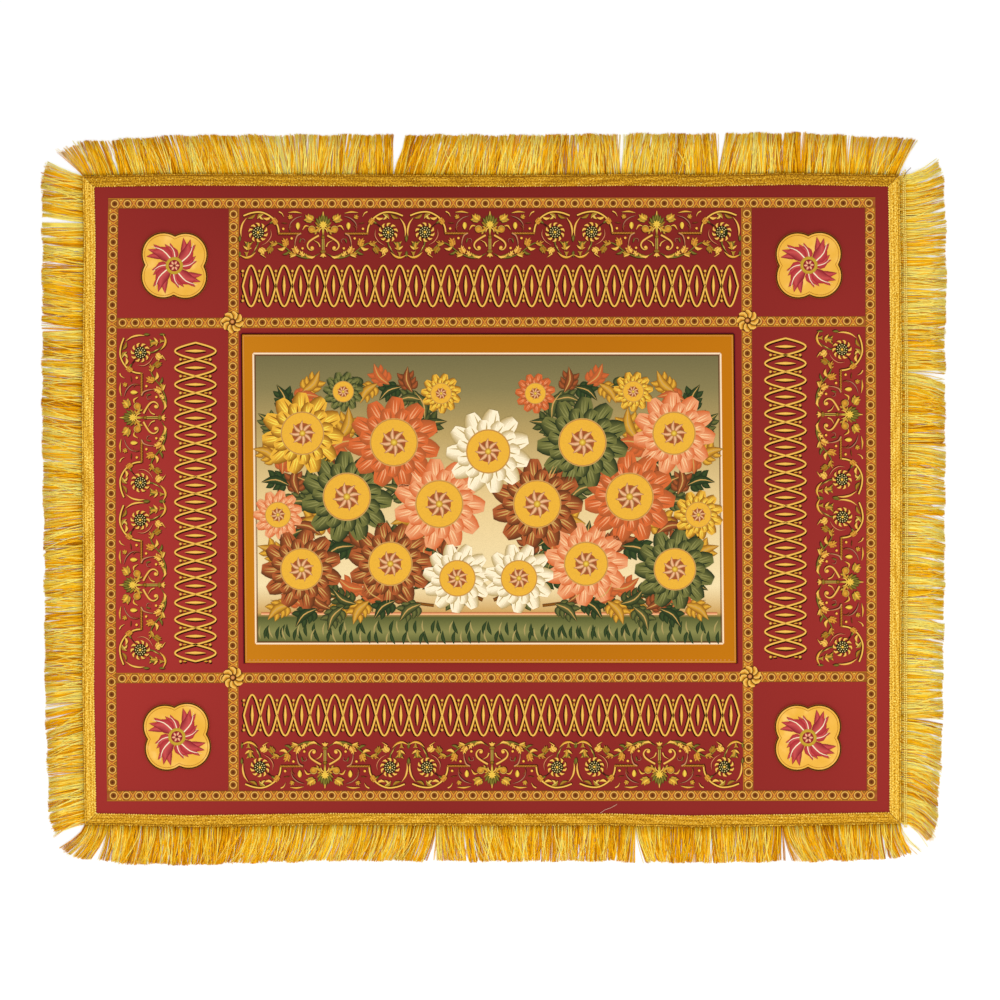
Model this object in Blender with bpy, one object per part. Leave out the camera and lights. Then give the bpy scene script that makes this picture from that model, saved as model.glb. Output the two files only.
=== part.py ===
# Epitaphios cloth laid out flat, face up. Metres, +Z up, origin at the middle of the underside.
# +X runs along the long edge and +Y towards the edge that is upper when the cloth is read.
# Sizes below are in millimetres and become metres where the meshes are made.

import bisect
import math

import bmesh
import bpy
from mathutils import Matrix, Vector

MM = 0.001

# Ground cloth
FIELD_CENTRE = (-1.4, -1.5)      # middle of the red field, from the middle of the whole
FIELD_HALF = (439.6, 347.1)      # half of the red field that shows inside the heading
TUCK = 7.5                       # cloth that runs on under the heading
CLOTH_THICKNESS = 1.6
CLOTH_CELLS = (20, 16)

# Heading and fringe
HEADING_WIDTH = 12.0
HEADING_THICKNESS = 1.2
HEADING_STEPS = 16               # straight bits along a heading's inner edge
MITRE_GAP = 0.3
CREASE_WIDEST = 20.0             # a swell with a smaller half width is a crease
CREASE_COLUMNS = (-1.0, -0.45, 0.0, 0.45, 1.0)
LAY_GAP = 0.3                    # clearance between pieces that lie on each other
LOCK_GAP = 1.0                   # parting between neighbouring locks
LOCK_WIDEST = 1.15               # a tip may be this much wider than its root
LOCK_NARROWEST = 2.5             # and no tip is made narrower than this
LENGTH_SCATTER = 2.0             # how much shorter the shortest locks are cut
HEIGHT_SCATTER = 0.25
BEND = 1.35                      # above 1, a leaning lock leaves its root straight and bends later
PARTING_SPREAD = 18.0            # how far along the edge a parting pushes the locks aside

# Centre panel
PANEL_CENTRE = (-4.6, 0.0)
PANEL_SIZE = (542.2, 362.4)
PANEL_SHEAR = 3.3                # the lower edge sits this far to the right of the upper one
PANEL_THICKNESS = 2.4
PANEL_CROWN = 0.35
PANEL_EDGE = 0.7                 # rounding of the panel's top edge
PANEL_CELLS = (8, 6)

# Corner medallions
LOBE_RADIUS = 24.6
LOBE_OFFSET = 12.2
LOBE_POINTS = 10
MEDALLION_THICKNESS = 1.4
MEDALLION_EDGE = 0.4

SURFACE = CLOTH_THICKNESS + LAY_GAP

# Fraction of a lock's drop, thickness there, and how far its upper edges are set in from its lower ones
LOCK_SECTIONS = [
    {"share": 0.24, "thickness": 2.0, "set_in": 0.15},
    {"share": 0.50, "thickness": 1.9, "set_in": 0.17},
    {"share": 0.76, "thickness": 1.5, "set_in": 0.19},
    {"share": 1.00, "thickness": 0.8, "set_in": 0.24},
]

# Soft creases and swells of the laid cloth: centre, half sizes and height. A crease is a narrow
# one, and the sheet is cut into finer columns across it.
SWELLS = [
    {"x": -285, "y": 270, "half_x": 13, "half_y": 72, "height": 0.9},
    {"x": 271, "y": -270, "half_x": 13, "half_y": 72, "height": 0.9},
    {"x": -281, "y": -270, "half_x": 12, "half_y": 72, "height": 0.4},
    {"x": 268, "y": 270, "half_x": 12, "half_y": 72, "height": 0.5},
    {"x": -365, "y": 20, "half_x": 60, "half_y": 170, "height": 0.7},
    {"x": 360, "y": -30, "half_x": 60, "half_y": 180, "height": 0.6},
    {"x": 30, "y": 285, "half_x": 220, "half_y": 50, "height": 0.5},
    {"x": -40, "y": -285, "half_x": 220, "half_y": 50, "height": 0.6},
]

# The four edges. along runs left to right or top to bottom, and at is measured that way from the
# middle of the field. corners: the edge met at each end, and which end of it, -1 or 1.
# bow: (at, outward shift). comb: (at, lean along the edge at the tip, drop).
# partings: (at, width of the opening at the tips).
EDGES = {
    "top": {
        "along": (1, 0), "out": (0, 1), "corners": (("left", -1), ("right", -1)), "locks": 84,
        "bow": [(-440, -1.0), (-350, 0.8), (-130, 0.0), (20, -0.6), (155, 0.6), (240, -0.1),
                (330, 1.6), (440, -0.2)],
        "comb": [(-452, -28, 27), (-438, -12, 39), (-334, -12, 44), (-231, -12, 44.5), (-212, 0, 45),
                 (-160, 8, 45.5), (-122, 2, 45.5), (-98, 11, 45.5), (30, 8, 45.5), (132, -4, 46),
                 (154, 7, 46), (242, -2, 46.6), (260, 9, 46.6), (290, 0, 46.6), (340, 3, 46),
                 (392, 2, 45), (428, 12, 44), (452, 11, 41)],
        "partings": [(-412, 10), (-109, 14), (142, 12), (250, 12), (341, 5)],
    },
    "bottom": {
        "along": (1, 0), "out": (0, -1), "corners": (("left", 1), ("right", 1)), "locks": 84,
        "bow": [(-440, -0.9), (-330, 1.5), (-175, -1.0), (0, 0.0), (130, -0.5), (220, 1.6),
                (330, 0.2), (440, -2.0)],
        "comb": [(-452, -30, 25), (-438, -24, 36), (-426, -18, 40), (-418, -6, 42), (-400, -9, 43.6),
                 (-317, -3, 43.6), (-275, -12, 42), (-146, -14, 41), (-68, -10, 41), (-54, 1, 41),
                 (-8, 7, 41), (71, -2, 41), (152, -1, 41), (163, 10, 41), (200, -2, 41), (240, 0, 41),
                 (318, -1, 41), (325, 17, 41), (366, 14, 41), (400, 2, 41), (421, 2, 40.5),
                 (440, 13, 38), (452, 13, 33)],
        "partings": [(-424, 8), (-62, 13), (158, 10), (242, 6), (321, 7)],
    },
    "left": {
        "along": (0, -1), "out": (-1, 0), "corners": (("top", -1), ("bottom", -1)), "locks": 63,
        "bow": [(-347, 0.2), (-280, -1.3), (-85, 1.2), (70, -0.2), (210, 0.4), (347, -2.0)],
        "comb": [(-359, -11, 41), (-345, -8, 46), (-320, -4, 47.4), (-287, -3, 47.4), (-232, -6, 47.4),
                 (-166, -2, 46), (-94, -7, 45.5), (-22, -3, 45), (33, 8, 44.5), (66, 3, 44),
                 (154, 1, 43.5), (215, 5, 43), (254, 14, 42), (292, 3, 41.5), (331, 9, 41),
                 (345, 11, 39), (359, 11, 35)],
        "partings": [(-306, 6), (-258, 5), (-189, 8), (122, 5), (223, 5), (300, 5)],
    },
    "right": {
        "along": (0, -1), "out": (1, 0), "corners": (("top", 1), ("bottom", 1)), "locks": 63,
        "bow": [(-347, -1.9), (-245, -0.4), (-140, 0.7), (20, 1.0), (175, -0.3), (347, -0.4)],
        "comb": [(-359, -14, 42), (-345, -9, 47), (-315, -5, 50), (-221, 0, 50), (-188, -2, 48),
                 (-127, 9, 47.5), (-78, 0, 47.5), (-42, 8, 47.5), (0, 1, 47), (28, 8, 47),
                 (110, 3, 47), (171, 5, 46.5), (221, 0, 46), (265, 9, 45.5), (298, 16, 43.5),
                 (331, 23, 41), (350, 22, 36), (359, 20, 29)],
        "partings": [(-298, 4), (-142, 12), (-60, 7), (124, 4), (241, 8)],
    },
}

MEDALLIONS = {
    "medallion_top_left": {"x": -352.2, "y": 257.3, "turn": -1.3},
    "medallion_top_right": {"x": 348.3, "y": 257.8, "turn": 1.2},
    "medallion_bottom_left": {"x": -349.4, "y": -262.8, "turn": 4.8},
    "medallion_bottom_right": {"x": 347.3, "y": -263.9, "turn": 0.0},
}


def clear_scene():
    for thing in list(bpy.data.objects):
        bpy.data.objects.remove(thing)


def cloth_material(name, colour, roughness, metallic):
    material = bpy.data.materials.new(name)
    material.use_nodes = True
    shader = material.node_tree.nodes["Principled BSDF"]
    shader.inputs["Base Color"].default_value = (*colour, 1.0)
    shader.inputs["Roughness"].default_value = roughness
    shader.inputs["Metallic"].default_value = metallic
    return material


def finish_object(name, bm, material):
    """Close the mesh, point its faces out, turn millimetres into metres and make the object."""
    bmesh.ops.remove_doubles(bm, verts=bm.verts, dist=0.001)
    bmesh.ops.triangulate(bm, faces=[face for face in bm.faces if len(face.verts) > 4])
    bmesh.ops.recalc_face_normals(bm, faces=bm.faces)
    bmesh.ops.scale(bm, vec=(MM, MM, MM), verts=bm.verts)
    mesh = bpy.data.meshes.new(name)
    bm.to_mesh(mesh)
    bm.free()
    mesh.materials.append(material)
    thing = bpy.data.objects.new(name, mesh)
    bpy.context.scene.collection.objects.link(thing)
    return thing


def along_table(rows, at, column):
    """Read one column of a table whose rows start with a place, straight between its rows."""
    places = [row[0] for row in rows]
    if at <= places[0]:
        return rows[0][column]
    if at >= places[-1]:
        return rows[-1][column]
    upper = bisect.bisect_right(places, at)
    low, high = rows[upper - 1], rows[upper]
    share = (at - low[0]) / (high[0] - low[0])
    return low[column] + share * (high[column] - low[column])


def edge_half(edge):
    """Half length of an edge of the red field, and how far that edge is from the middle."""
    lengthwise = edge["along"][0] != 0
    return (FIELD_HALF[0], FIELD_HALF[1]) if lengthwise else (FIELD_HALF[1], FIELD_HALF[0])


def edge_ends(edge):
    """Where an edge of the red field meets its two neighbours, as places along it."""
    ends = []
    for sign, (neighbour, its_end) in zip((-1, 1), edge["corners"]):
        bow = EDGES[neighbour]["bow"]
        ends.append(sign * (edge_half(edge)[0] + bow[0 if its_end < 0 else -1][1]))
    return ends


def edge_point(edge, at, outward, z):
    """A point beside an edge: at along it, outward of the field's own edge, bowed as the cloth is."""
    distance = edge_half(edge)[1] + outward + along_table(edge["bow"], at, 1)
    along, out = edge["along"], edge["out"]
    return Vector((FIELD_CENTRE[0] + along[0] * at + out[0] * distance,
                   FIELD_CENTRE[1] + along[1] * at + out[1] * distance, z))


def relief(x, y):
    """Height of the laid cloth's swells at a place."""
    height = 0.0
    for swell in SWELLS:
        across = 1 - ((x - swell["x"]) / swell["half_x"]) ** 2
        up = 1 - ((y - swell["y"]) / swell["half_y"]) ** 2
        if across > 0 and up > 0:
            height += swell["height"] * across ** 2 * up ** 2
    return height


def build_ground_cloth():
    """One sheet with slightly wavy edges, flat in the middle and lifted by its creases elsewhere."""
    half_x = FIELD_HALF[0] + TUCK
    half_y = FIELD_HALF[1] + TUCK
    bm = bmesh.new()
    bmesh.ops.create_grid(bm, x_segments=CLOTH_CELLS[0], y_segments=CLOTH_CELLS[1], size=1.0)
    bmesh.ops.scale(bm, vec=(half_x, half_y, 1), verts=bm.verts)
    for swell in SWELLS:
        if swell["half_x"] > CREASE_WIDEST:
            continue
        for offset in CREASE_COLUMNS:
            line = (swell["x"] - FIELD_CENTRE[0] + offset * swell["half_x"], 0, 0)
            everything = bm.verts[:] + bm.edges[:] + bm.faces[:]
            bmesh.ops.bisect_plane(bm, geom=everything, dist=0.5, plane_co=line, plane_no=(1, 0, 0))
    for vert in bm.verts:
        share_x = vert.co.x / half_x
        share_y = vert.co.y / half_y
        side = EDGES["right" if share_x > 0 else "left"]
        end = EDGES["top" if share_y > 0 else "bottom"]
        shift_x = share_x * abs(share_x) * along_table(side["bow"], -vert.co.y, 1)
        shift_y = share_y * abs(share_y) * along_table(end["bow"], vert.co.x, 1)
        vert.co.x += FIELD_CENTRE[0] + shift_x
        vert.co.y += FIELD_CENTRE[1] + shift_y
        vert.co.z = relief(vert.co.x, vert.co.y)
    lifted = bmesh.ops.extrude_face_region(bm, geom=bm.faces[:])
    upper = [item for item in lifted["geom"] if isinstance(item, bmesh.types.BMVert)]
    bmesh.ops.translate(bm, vec=(0, 0, CLOTH_THICKNESS), verts=upper)
    gabardine = cloth_material("red_printed_gabardine", (0.335, 0.026, 0.028), 0.75, 0.0)
    return finish_object("ground_cloth", bm, gabardine)


def top_rim(bm, upper):
    """The edges around a raised top, where it meets its walls."""
    raised = set(upper)
    return [edge for edge in bm.edges if raised.issuperset(edge.verts)
            and any(not raised.issuperset(face.verts) for face in edge.link_faces)]


def build_centre_panel():
    """A stiffened rectangle, a little out of square, with a rounded upper edge and a faint crown."""
    half_x = PANEL_SIZE[0] / 2
    half_y = PANEL_SIZE[1] / 2
    bm = bmesh.new()
    bmesh.ops.create_grid(bm, x_segments=PANEL_CELLS[0], y_segments=PANEL_CELLS[1], size=1.0)
    bmesh.ops.scale(bm, vec=(half_x, half_y, 1), verts=bm.verts)
    bmesh.ops.translate(bm, vec=(0, 0, SURFACE), verts=bm.verts)
    lifted = bmesh.ops.extrude_face_region(bm, geom=bm.faces[:])
    upper = [item for item in lifted["geom"] if isinstance(item, bmesh.types.BMVert)]
    bmesh.ops.translate(bm, vec=(0, 0, PANEL_THICKNESS), verts=upper)
    bmesh.ops.bevel(bm, geom=top_rim(bm, upper), offset=PANEL_EDGE, segments=1, profile=0.5,
                    affect="EDGES", material=-1)
    for vert in bm.verts:
        share_x = vert.co.x / half_x
        share_y = vert.co.y / half_y
        if vert.co.z > SURFACE + PANEL_THICKNESS / 2:
            vert.co.z += PANEL_CROWN * (1 - share_x ** 2) * (1 - share_y ** 2)
        vert.co.x -= share_y * PANEL_SHEAR / 2
    bmesh.ops.translate(bm, vec=(*PANEL_CENTRE, 0), verts=bm.verts)
    printed = cloth_material("printed_panel_cloth", (0.52, 0.2, 0.02), 0.6, 0.0)
    return finish_object("centre_panel", bm, printed)


def build_medallion(name, place, material):
    """Four overlapping round lobes, cut from one patch."""
    reach = math.asin(LOBE_OFFSET / LOBE_RADIUS)
    bm = bmesh.new()
    outline = []
    for quarter in range(4):
        turn = Matrix.Rotation(quarter * math.pi / 2, 3, "Z")
        for step in range(LOBE_POINTS):
            angle = -reach + (math.pi / 2 + 2 * reach) * step / LOBE_POINTS
            lobe = Vector((LOBE_OFFSET + LOBE_RADIUS * math.cos(angle),
                           LOBE_OFFSET + LOBE_RADIUS * math.sin(angle), SURFACE))
            outline.append(bm.verts.new(turn @ lobe))
    patch = bm.faces.new(outline)
    lifted = bmesh.ops.extrude_face_region(bm, geom=[patch])
    upper = [item for item in lifted["geom"] if isinstance(item, bmesh.types.BMVert)]
    bmesh.ops.translate(bm, vec=(0, 0, MEDALLION_THICKNESS), verts=upper)
    bmesh.ops.bevel(bm, geom=top_rim(bm, upper), offset=MEDALLION_EDGE, segments=1, profile=0.5,
                    affect="EDGES", material=-1)
    bmesh.ops.rotate(bm, matrix=Matrix.Rotation(math.radians(place["turn"]), 3, "Z"), verts=bm.verts)
    bmesh.ops.translate(bm, vec=(place["x"], place["y"], 0), verts=bm.verts)
    return finish_object(name, bm, material)


def lock_roots(edge):
    """Where each lock starts and ends along the outer edge of its heading."""
    start, end = edge_ends(edge)
    start -= HEADING_WIDTH - MITRE_GAP
    end += HEADING_WIDTH - MITRE_GAP
    pitch = (end - start) / edge["locks"]
    return [(start + index * pitch, start + (index + 1) * pitch) for index in range(edge["locks"])]


def tip_place(edge, at, side, partings):
    """Where a point of the heading's edge is carried to along the tips. side is -1 left, 1 right."""
    place = at + along_table(edge["comb"], at, 1)
    for parting, width in partings:
        beyond = at - parting
        if abs(beyond) < 0.01:
            beyond = -0.01 * side
        push = math.copysign(width / 2, beyond) * math.exp(-abs(beyond) / PARTING_SPREAD)
        place += push
    return place


def build_fringe(name, edge, material):
    """A mitred heading strip whose outer wall is drawn out, lock by lock, down onto the floor."""
    roots = lock_roots(edge)
    boundaries = [root[0] for root in roots] + [roots[-1][1]]
    partings = [(min(boundaries, key=lambda place: abs(place - at)), width)
                for at, width in edge["partings"]]
    start, end = edge_ends(edge)
    inner_length = end - start - 2 * MITRE_GAP
    inner = [edge_point(edge, end - MITRE_GAP - inner_length * step / HEADING_STEPS, 0, SURFACE)
             for step in range(HEADING_STEPS + 1)]
    outer = []
    for left, right in roots:
        outer.append(edge_point(edge, left + LOCK_GAP / 2, HEADING_WIDTH, SURFACE))
        outer.append(edge_point(edge, right - LOCK_GAP / 2, HEADING_WIDTH, SURFACE))
    outer[0] = edge_point(edge, roots[0][0], HEADING_WIDTH, SURFACE)
    outer[-1] = edge_point(edge, roots[-1][1], HEADING_WIDTH, SURFACE)

    bm = bmesh.new()
    outer_verts = [bm.verts.new(point) for point in outer]
    inner_verts = [bm.verts.new(point) for point in inner]
    strip = bm.faces.new(outer_verts + inner_verts)
    lifted = bmesh.ops.extrude_face_region(bm, geom=[strip])
    upper = [item for item in lifted["geom"] if isinstance(item, bmesh.types.BMVert)]
    bmesh.ops.translate(bm, vec=(0, 0, HEADING_THICKNESS), verts=upper)

    for index, (left, right) in enumerate(roots):
        root_edge = bm.edges.get((outer_verts[2 * index], outer_verts[2 * index + 1]))
        wall = next(face for face in root_edge.link_faces if face is not strip)
        scatter = abs(math.sin(2.4 * index + 0.7))
        drop_left = along_table(edge["comb"], left, 2) - LENGTH_SCATTER * scatter
        drop_right = along_table(edge["comb"], right, 2) - LENGTH_SCATTER * scatter
        tip_left = tip_place(edge, left, -1, partings) + LOCK_GAP / 2
        tip_right = tip_place(edge, right, 1, partings) - LOCK_GAP / 2
        widest = LOCK_WIDEST * (right - left)
        if tip_right - tip_left > widest:
            if index == 0:
                tip_right = tip_left + widest
            else:
                tip_left = tip_right - widest
        if tip_right - tip_left < LOCK_NARROWEST:
            middle = (tip_left + tip_right) / 2
            tip_left, tip_right = middle - LOCK_NARROWEST / 2, middle + LOCK_NARROWEST / 2
        puff = HEIGHT_SCATTER * math.sin(1.7 * index)
        for section in LOCK_SECTIONS:
            wall = bmesh.ops.extrude_discrete_faces(bm, faces=[wall])["faces"][0]
            bend = section["share"] ** BEND
            low_z = min(vert.co.z for vert in wall.verts)
            middle = wall.calc_center_median()
            along = Vector((*edge["along"], 0))
            for vert in wall.verts:
                on_right = (vert.co - middle).dot(along) > 0
                is_top = vert.co.z > low_z + 0.3
                root = right - LOCK_GAP / 2 if on_right else left + LOCK_GAP / 2
                tip = tip_right if on_right else tip_left
                drop = drop_right if on_right else drop_left
                inset = section["set_in"] * (tip_right - tip_left) if is_top else 0.0
                at = root + (tip - root) * bend + (-inset if on_right else inset)
                z = section["thickness"] + puff * section["share"] if is_top else 0.0
                vert.co = edge_point(edge, at, HEADING_WIDTH + drop * section["share"], z)
    return finish_object(name, bm, material)


def main():
    clear_scene()
    build_ground_cloth()
    build_centre_panel()
    satin = cloth_material("embroidered_medallion_cloth", (0.8, 0.47, 0.08), 0.55, 0.0)
    for name, place in MEDALLIONS.items():
        build_medallion(name, place, satin)
    for name, edge in EDGES.items():
        lurex = cloth_material("gold_fringe_thread_" + name, (0.76, 0.42, 0.045), 0.4, 0.35)
        build_fringe("fringe_" + name, edge, lurex)


main()
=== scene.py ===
# Epitaphios cloth: the finished look of the laid cloth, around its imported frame.
# Sizes are in millimetres, in the frame's own axes, and become metres where the meshes are made.

import math

import bmesh
import bpy
import numpy as np
from mathutils import Matrix, Vector


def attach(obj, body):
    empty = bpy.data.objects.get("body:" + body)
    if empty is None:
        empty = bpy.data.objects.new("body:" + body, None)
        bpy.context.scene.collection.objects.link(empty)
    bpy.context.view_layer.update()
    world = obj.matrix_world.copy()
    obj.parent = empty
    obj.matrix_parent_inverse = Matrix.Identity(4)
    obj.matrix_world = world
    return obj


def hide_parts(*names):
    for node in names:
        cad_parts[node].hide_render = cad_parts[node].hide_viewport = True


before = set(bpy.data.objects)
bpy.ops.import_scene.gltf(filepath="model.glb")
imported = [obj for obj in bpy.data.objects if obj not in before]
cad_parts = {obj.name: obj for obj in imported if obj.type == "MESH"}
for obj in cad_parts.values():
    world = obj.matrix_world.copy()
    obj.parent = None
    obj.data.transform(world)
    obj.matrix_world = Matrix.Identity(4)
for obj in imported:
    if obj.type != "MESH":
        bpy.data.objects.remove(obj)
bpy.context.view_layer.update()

MM = 0.001
RANDOM_SEED = 11

# Ground cloth
FIELD_CENTRE = (-1.4, -1.5)
FIELD_HALF = (439.6, 347.1)
TUCK = 7.5                       # how far the cloth goes on under the headings
CLOTH_THICKNESS = 1.6
CLOTH_CELL = 6.0
PAINTED_LIGHT_PLACE = (-0.42, -0.12, 0.0)     # middle of the pool of painted light where the red is lightest, and how far that reaches, in metres
PAINTED_LIGHT_REACH = 0.3

# Heading and fringe
HEADING_WIDTH = 12.0
MITRE_GAP = 0.3
LAY_GAP = 0.3
LENGTH_SCATTER = 2.0
PARTING_SPREAD = 18.0            # how far from a parting threads are still carried aside
PARTING_EDGE = 9.0               # and how far from it upper strands lie straighter
STRANDS_PER_LOCK = 18
STRAND_THREADS = 4               # threads that lie together as one strand
STRAND_WIDTH = 1.2
STRAND_LEAN = 6.5                # how far an upper strand's tip is carried across the lower ones
STRAND_SLANT = 0.9               # share of it that most upper strands take, to one side or the other
THREAD_RINGS = 4
THREAD_RADIUS = {"lower": 0.36, "upper": 0.25}
FILM_FLATNESS = 0.5              # height of a thread's section over its width
STRAY_SHARE = 0.04               # strands that lie right across the others
END_INSET = 0.4                  # threads stay this far inside the ends of their heading
ROOT_TUCK = 1.0                  # and start this far inside its outer edge
ROOT_HEIGHT = (0.7, 1.4)         # of the lowest thread, and how much more the highest has
TIP_RISE = 0.8                   # how much higher the tip of the highest thread lies
HEADING_STEP = 2.8

# How much the lie of locks, strands and single threads varies
SCATTER = {
    "slant": 0.55,
    "tip": 0.3,
    "strand_length": 0.9,
    "thread_length": 0.5,
    "height": 0.05,
    "strand_curl": 1.3,
    "thread_curl": 0.1,
    "strand_tone": 0.28,
    "thread_tone": 0.07,
    "lock_tone": 0.12,
}

# Centre panel
PANEL_CENTRE = (-4.6, 0.0)
PANEL_SIZE = (542.2, 362.4)
PANEL_SHEAR = 3.3
PANEL_THICKNESS = 2.4
PANEL_CROWN = 0.35
PANEL_EDGE = 0.7
# How far out from the panel its painted shadow and seam line lie
SEAM_SHADOW_OUT = 0.8
GRASS_BLADES = 110

# Corner medallions
LOBE_RADIUS = 24.6
LOBE_OFFSET = 12.2
MEDALLION_THICKNESS = 1.4
MEDALLION_EDGE = 0.4

SURFACE = CLOTH_THICKNESS + LAY_GAP

# Printed ornament
PRINT_LIFT = 0.14                # the lowest ink above the cloth
INK_STEP = 0.022                 # and each ink that is printed over another
BEAD_PITCH = 13.95
WAVE_PITCH = 18.25
WAVE_HEIGHT = 22.6

# Camera: its height, the width of its view and the point below it, in metres
CAMERA_HEIGHT = 3.5
VIEW_WIDTH = 1.105
VIEW_CENTRE = (0.0073, -0.0014)
SENSOR = 36.0                    # in millimetres

# Lights: name, place, side of the square, and power. Floor and lights are in metres too.
LIGHTS = [("overhead", (0.0, 0.3, 3.0), 3.0, 30), ("reader_side", (0.3, -2.6, 1.6), 1.6, 26)]
SKY_STRENGTH = 0.76
FLOOR_HALF = 4.0
FLOOR_DROP = 0.0002

# Swells and creases of the laid cloth: middle, half sizes and height
SWELLS = [
    {"x": -285, "y": 270, "half_x": 13, "half_y": 72, "height": 0.9},
    {"x": 271, "y": -270, "half_x": 13, "half_y": 72, "height": 0.9},
    {"x": -281, "y": -270, "half_x": 12, "half_y": 72, "height": 0.4},
    {"x": 268, "y": 270, "half_x": 12, "half_y": 72, "height": 0.5},
    {"x": -365, "y": 20, "half_x": 60, "half_y": 170, "height": 0.7},
    {"x": 360, "y": -30, "half_x": 60, "half_y": 180, "height": 0.6},
    {"x": 30, "y": 285, "half_x": 220, "half_y": 50, "height": 0.5},
    {"x": -40, "y": -285, "half_x": 220, "half_y": 50, "height": 0.6},
]

# The four edges, as in the solids. bow: (at, outward shift). comb: (at, lean at the tip, drop). bend: 1 where
# threads lie straight, more where they turn aside only near their tips. clump: how far locks draw together.
# partings: (at, width of the opening at the tips).
EDGES = {
    "top": {
        "along": (1, 0), "out": (0, 1), "corners": (("left", -1), ("right", -1)),
        "bend": 1.15, "clump": 0.17, "locks": 84,
        "bow": [(-440, -1.0), (-350, 0.8), (-130, 0.0), (20, -0.6), (155, 0.6), (240, -0.1),
                (330, 1.6), (440, -0.2)],
        "comb": [(-452, -28, 27), (-438, -12, 39), (-334, -12, 44), (-231, -12, 44.5), (-212, 0, 45),
                 (-160, 8, 45.5), (-122, 2, 45.5), (-98, 11, 45.5), (30, 8, 45.5), (132, -4, 46),
                 (154, 7, 46), (242, -2, 46.6), (260, 9, 46.6), (290, 0, 46.6), (340, 3, 46),
                 (392, 2, 44), (428, 14, 42.5), (452, 18, 41)],
        "partings": [(-412, 10), (-340, 4), (-109, 14), (142, 12), (250, 12), (341, 5), (392, 4)],
    },
    "bottom": {
        "along": (1, 0), "out": (0, -1), "corners": (("left", 1), ("right", 1)),
        "bend": 1.6, "clump": 0.15, "locks": 84,
        "bow": [(-440, -0.9), (-330, 1.5), (-175, -1.0), (0, 0.0), (130, -0.5), (220, 1.6),
                (330, 0.2), (440, -2.0)],
        "comb": [(-452, -30, 25), (-438, -24, 36), (-426, -18, 40), (-418, -6, 42), (-400, -9, 43.6),
                 (-317, -3, 43.6), (-275, -12, 42), (-146, -14, 41), (-68, -10, 41), (-54, 1, 41),
                 (-8, 7, 41), (71, -2, 41), (152, -1, 41), (163, 10, 41), (200, -2, 41), (240, 0, 41),
                 (318, -1, 41), (325, 17, 41), (366, 14, 41), (400, 2, 41), (421, 2, 40.5),
                 (440, 13, 38), (452, 13, 33)],
        "partings": [(-424, 8), (-62, 13), (158, 10), (242, 6), (321, 7)],
    },
    "left": {
        "along": (0, -1), "out": (-1, 0), "corners": (("top", -1), ("bottom", -1)),
        "bend": 1.25, "clump": 0.26, "locks": 63,
        "bow": [(-347, 0.2), (-280, -1.3), (-85, 1.2), (70, -0.2), (210, 0.4), (347, -2.0)],
        "comb": [(-359, -21, 39), (-355, -12, 43), (-345, -8, 46), (-320, -4, 47.4), (-287, -3, 47.4),
                 (-232, -6, 47.4), (-166, -2, 46), (-94, -7, 45.5), (-22, -3, 45), (33, 8, 44.5),
                 (66, 3, 44),
                 (154, 1, 43.5), (215, 5, 43), (254, 14, 42), (292, 3, 41.5), (331, 9, 41),
                 (345, 11, 39), (359, 11, 35)],
        "partings": [(-306, 6), (-258, 5), (-189, 8), (122, 5), (223, 5), (300, 5)],
    },
    "right": {
        "along": (0, -1), "out": (1, 0), "corners": (("top", 1), ("bottom", 1)),
        "bend": 1.9, "clump": 0.42, "locks": 63,
        "bow": [(-347, -1.9), (-245, -0.4), (-140, 0.7), (20, 1.0), (175, -0.3), (347, -0.4)],
        "comb": [(-359, -17, 44), (-345, -11, 49), (-315, -6, 51.5), (-221, 0, 51.5), (-188, -2, 49.5),
                 (-127, 9, 49), (-78, 0, 49), (-42, 8, 49), (0, 1, 48.5), (28, 8, 48.5),
                 (110, 3, 48.5), (171, 5, 48), (221, 0, 47.5), (265, 9, 46.5), (298, 16, 44),
                 (331, 23, 41.5), (350, 22, 36), (359, 20, 29)],
        "partings": [(-338, 3), (-298, 7), (-285, 3), (-262, 3), (-142, 12), (-60, 7), (-15, 3), (62, 3),
                     (124, 4), (190, 3), (241, 8)],
    },
}

MEDALLIONS = {
    "medallion_top_left": {"x": -352.2, "y": 257.3, "turn": -1.3},
    "medallion_top_right": {"x": 348.3, "y": 257.8, "turn": 1.2},
    "medallion_bottom_left": {"x": -349.4, "y": -262.8, "turn": 4.8},
    "medallion_bottom_right": {"x": 347.3, "y": -263.9, "turn": 0.0},
}

# Beaded bands: centre line from one end to the other, with the drops on its left side. The inner ones stop
# short by inset, at the outer ones, which run out to their corners and lie higher by rise. bow: how far the
# middle of the band lies to its left.
BEAD_BANDS = [
    {"start": (-419.6, 326.2), "end": (416.0, 327.0), "rings": 60, "bow": 0.0, "inset": -5.7, "rise": 0.32},
    {"start": (418.0, -327.9), "end": (-420.9, -328.3), "rings": 60, "bow": 0.0, "inset": -5.7, "rise": 0.32},
    {"start": (-420.9, -328.3), "end": (-419.6, 326.2), "rings": 48, "bow": 2.4, "inset": -5.7, "rise": 0.16},
    {"start": (416.0, 327.0), "end": (418.0, -327.9), "rings": 48, "bow": 0.3, "inset": -5.7, "rise": 0.16},
    {"start": (-286.5, 326.2), "end": (-286.9, -328.1), "rings": 46, "bow": -0.9, "inset": 5.0, "rise": 0.0},
    {"start": (281.5, -327.9), "end": (279.5, 326.8), "rings": 46, "bow": 0.0, "inset": 5.0, "rise": 0.0},
    {"start": (416.5, 195.9), "end": (-421.6, 193.9), "rings": 59, "bow": 0.0, "inset": 5.0, "rise": 0.0},
    {"start": (-422.2, -198.1), "end": (417.6, -196.5), "rings": 59, "bow": 0.0, "inset": 5.0, "rise": 0.0},
]
CROSSINGS = [(-288.0, 195.2), (280.8, 196.6), (-287.5, -197.7), (283.7, -196.4)]

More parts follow.
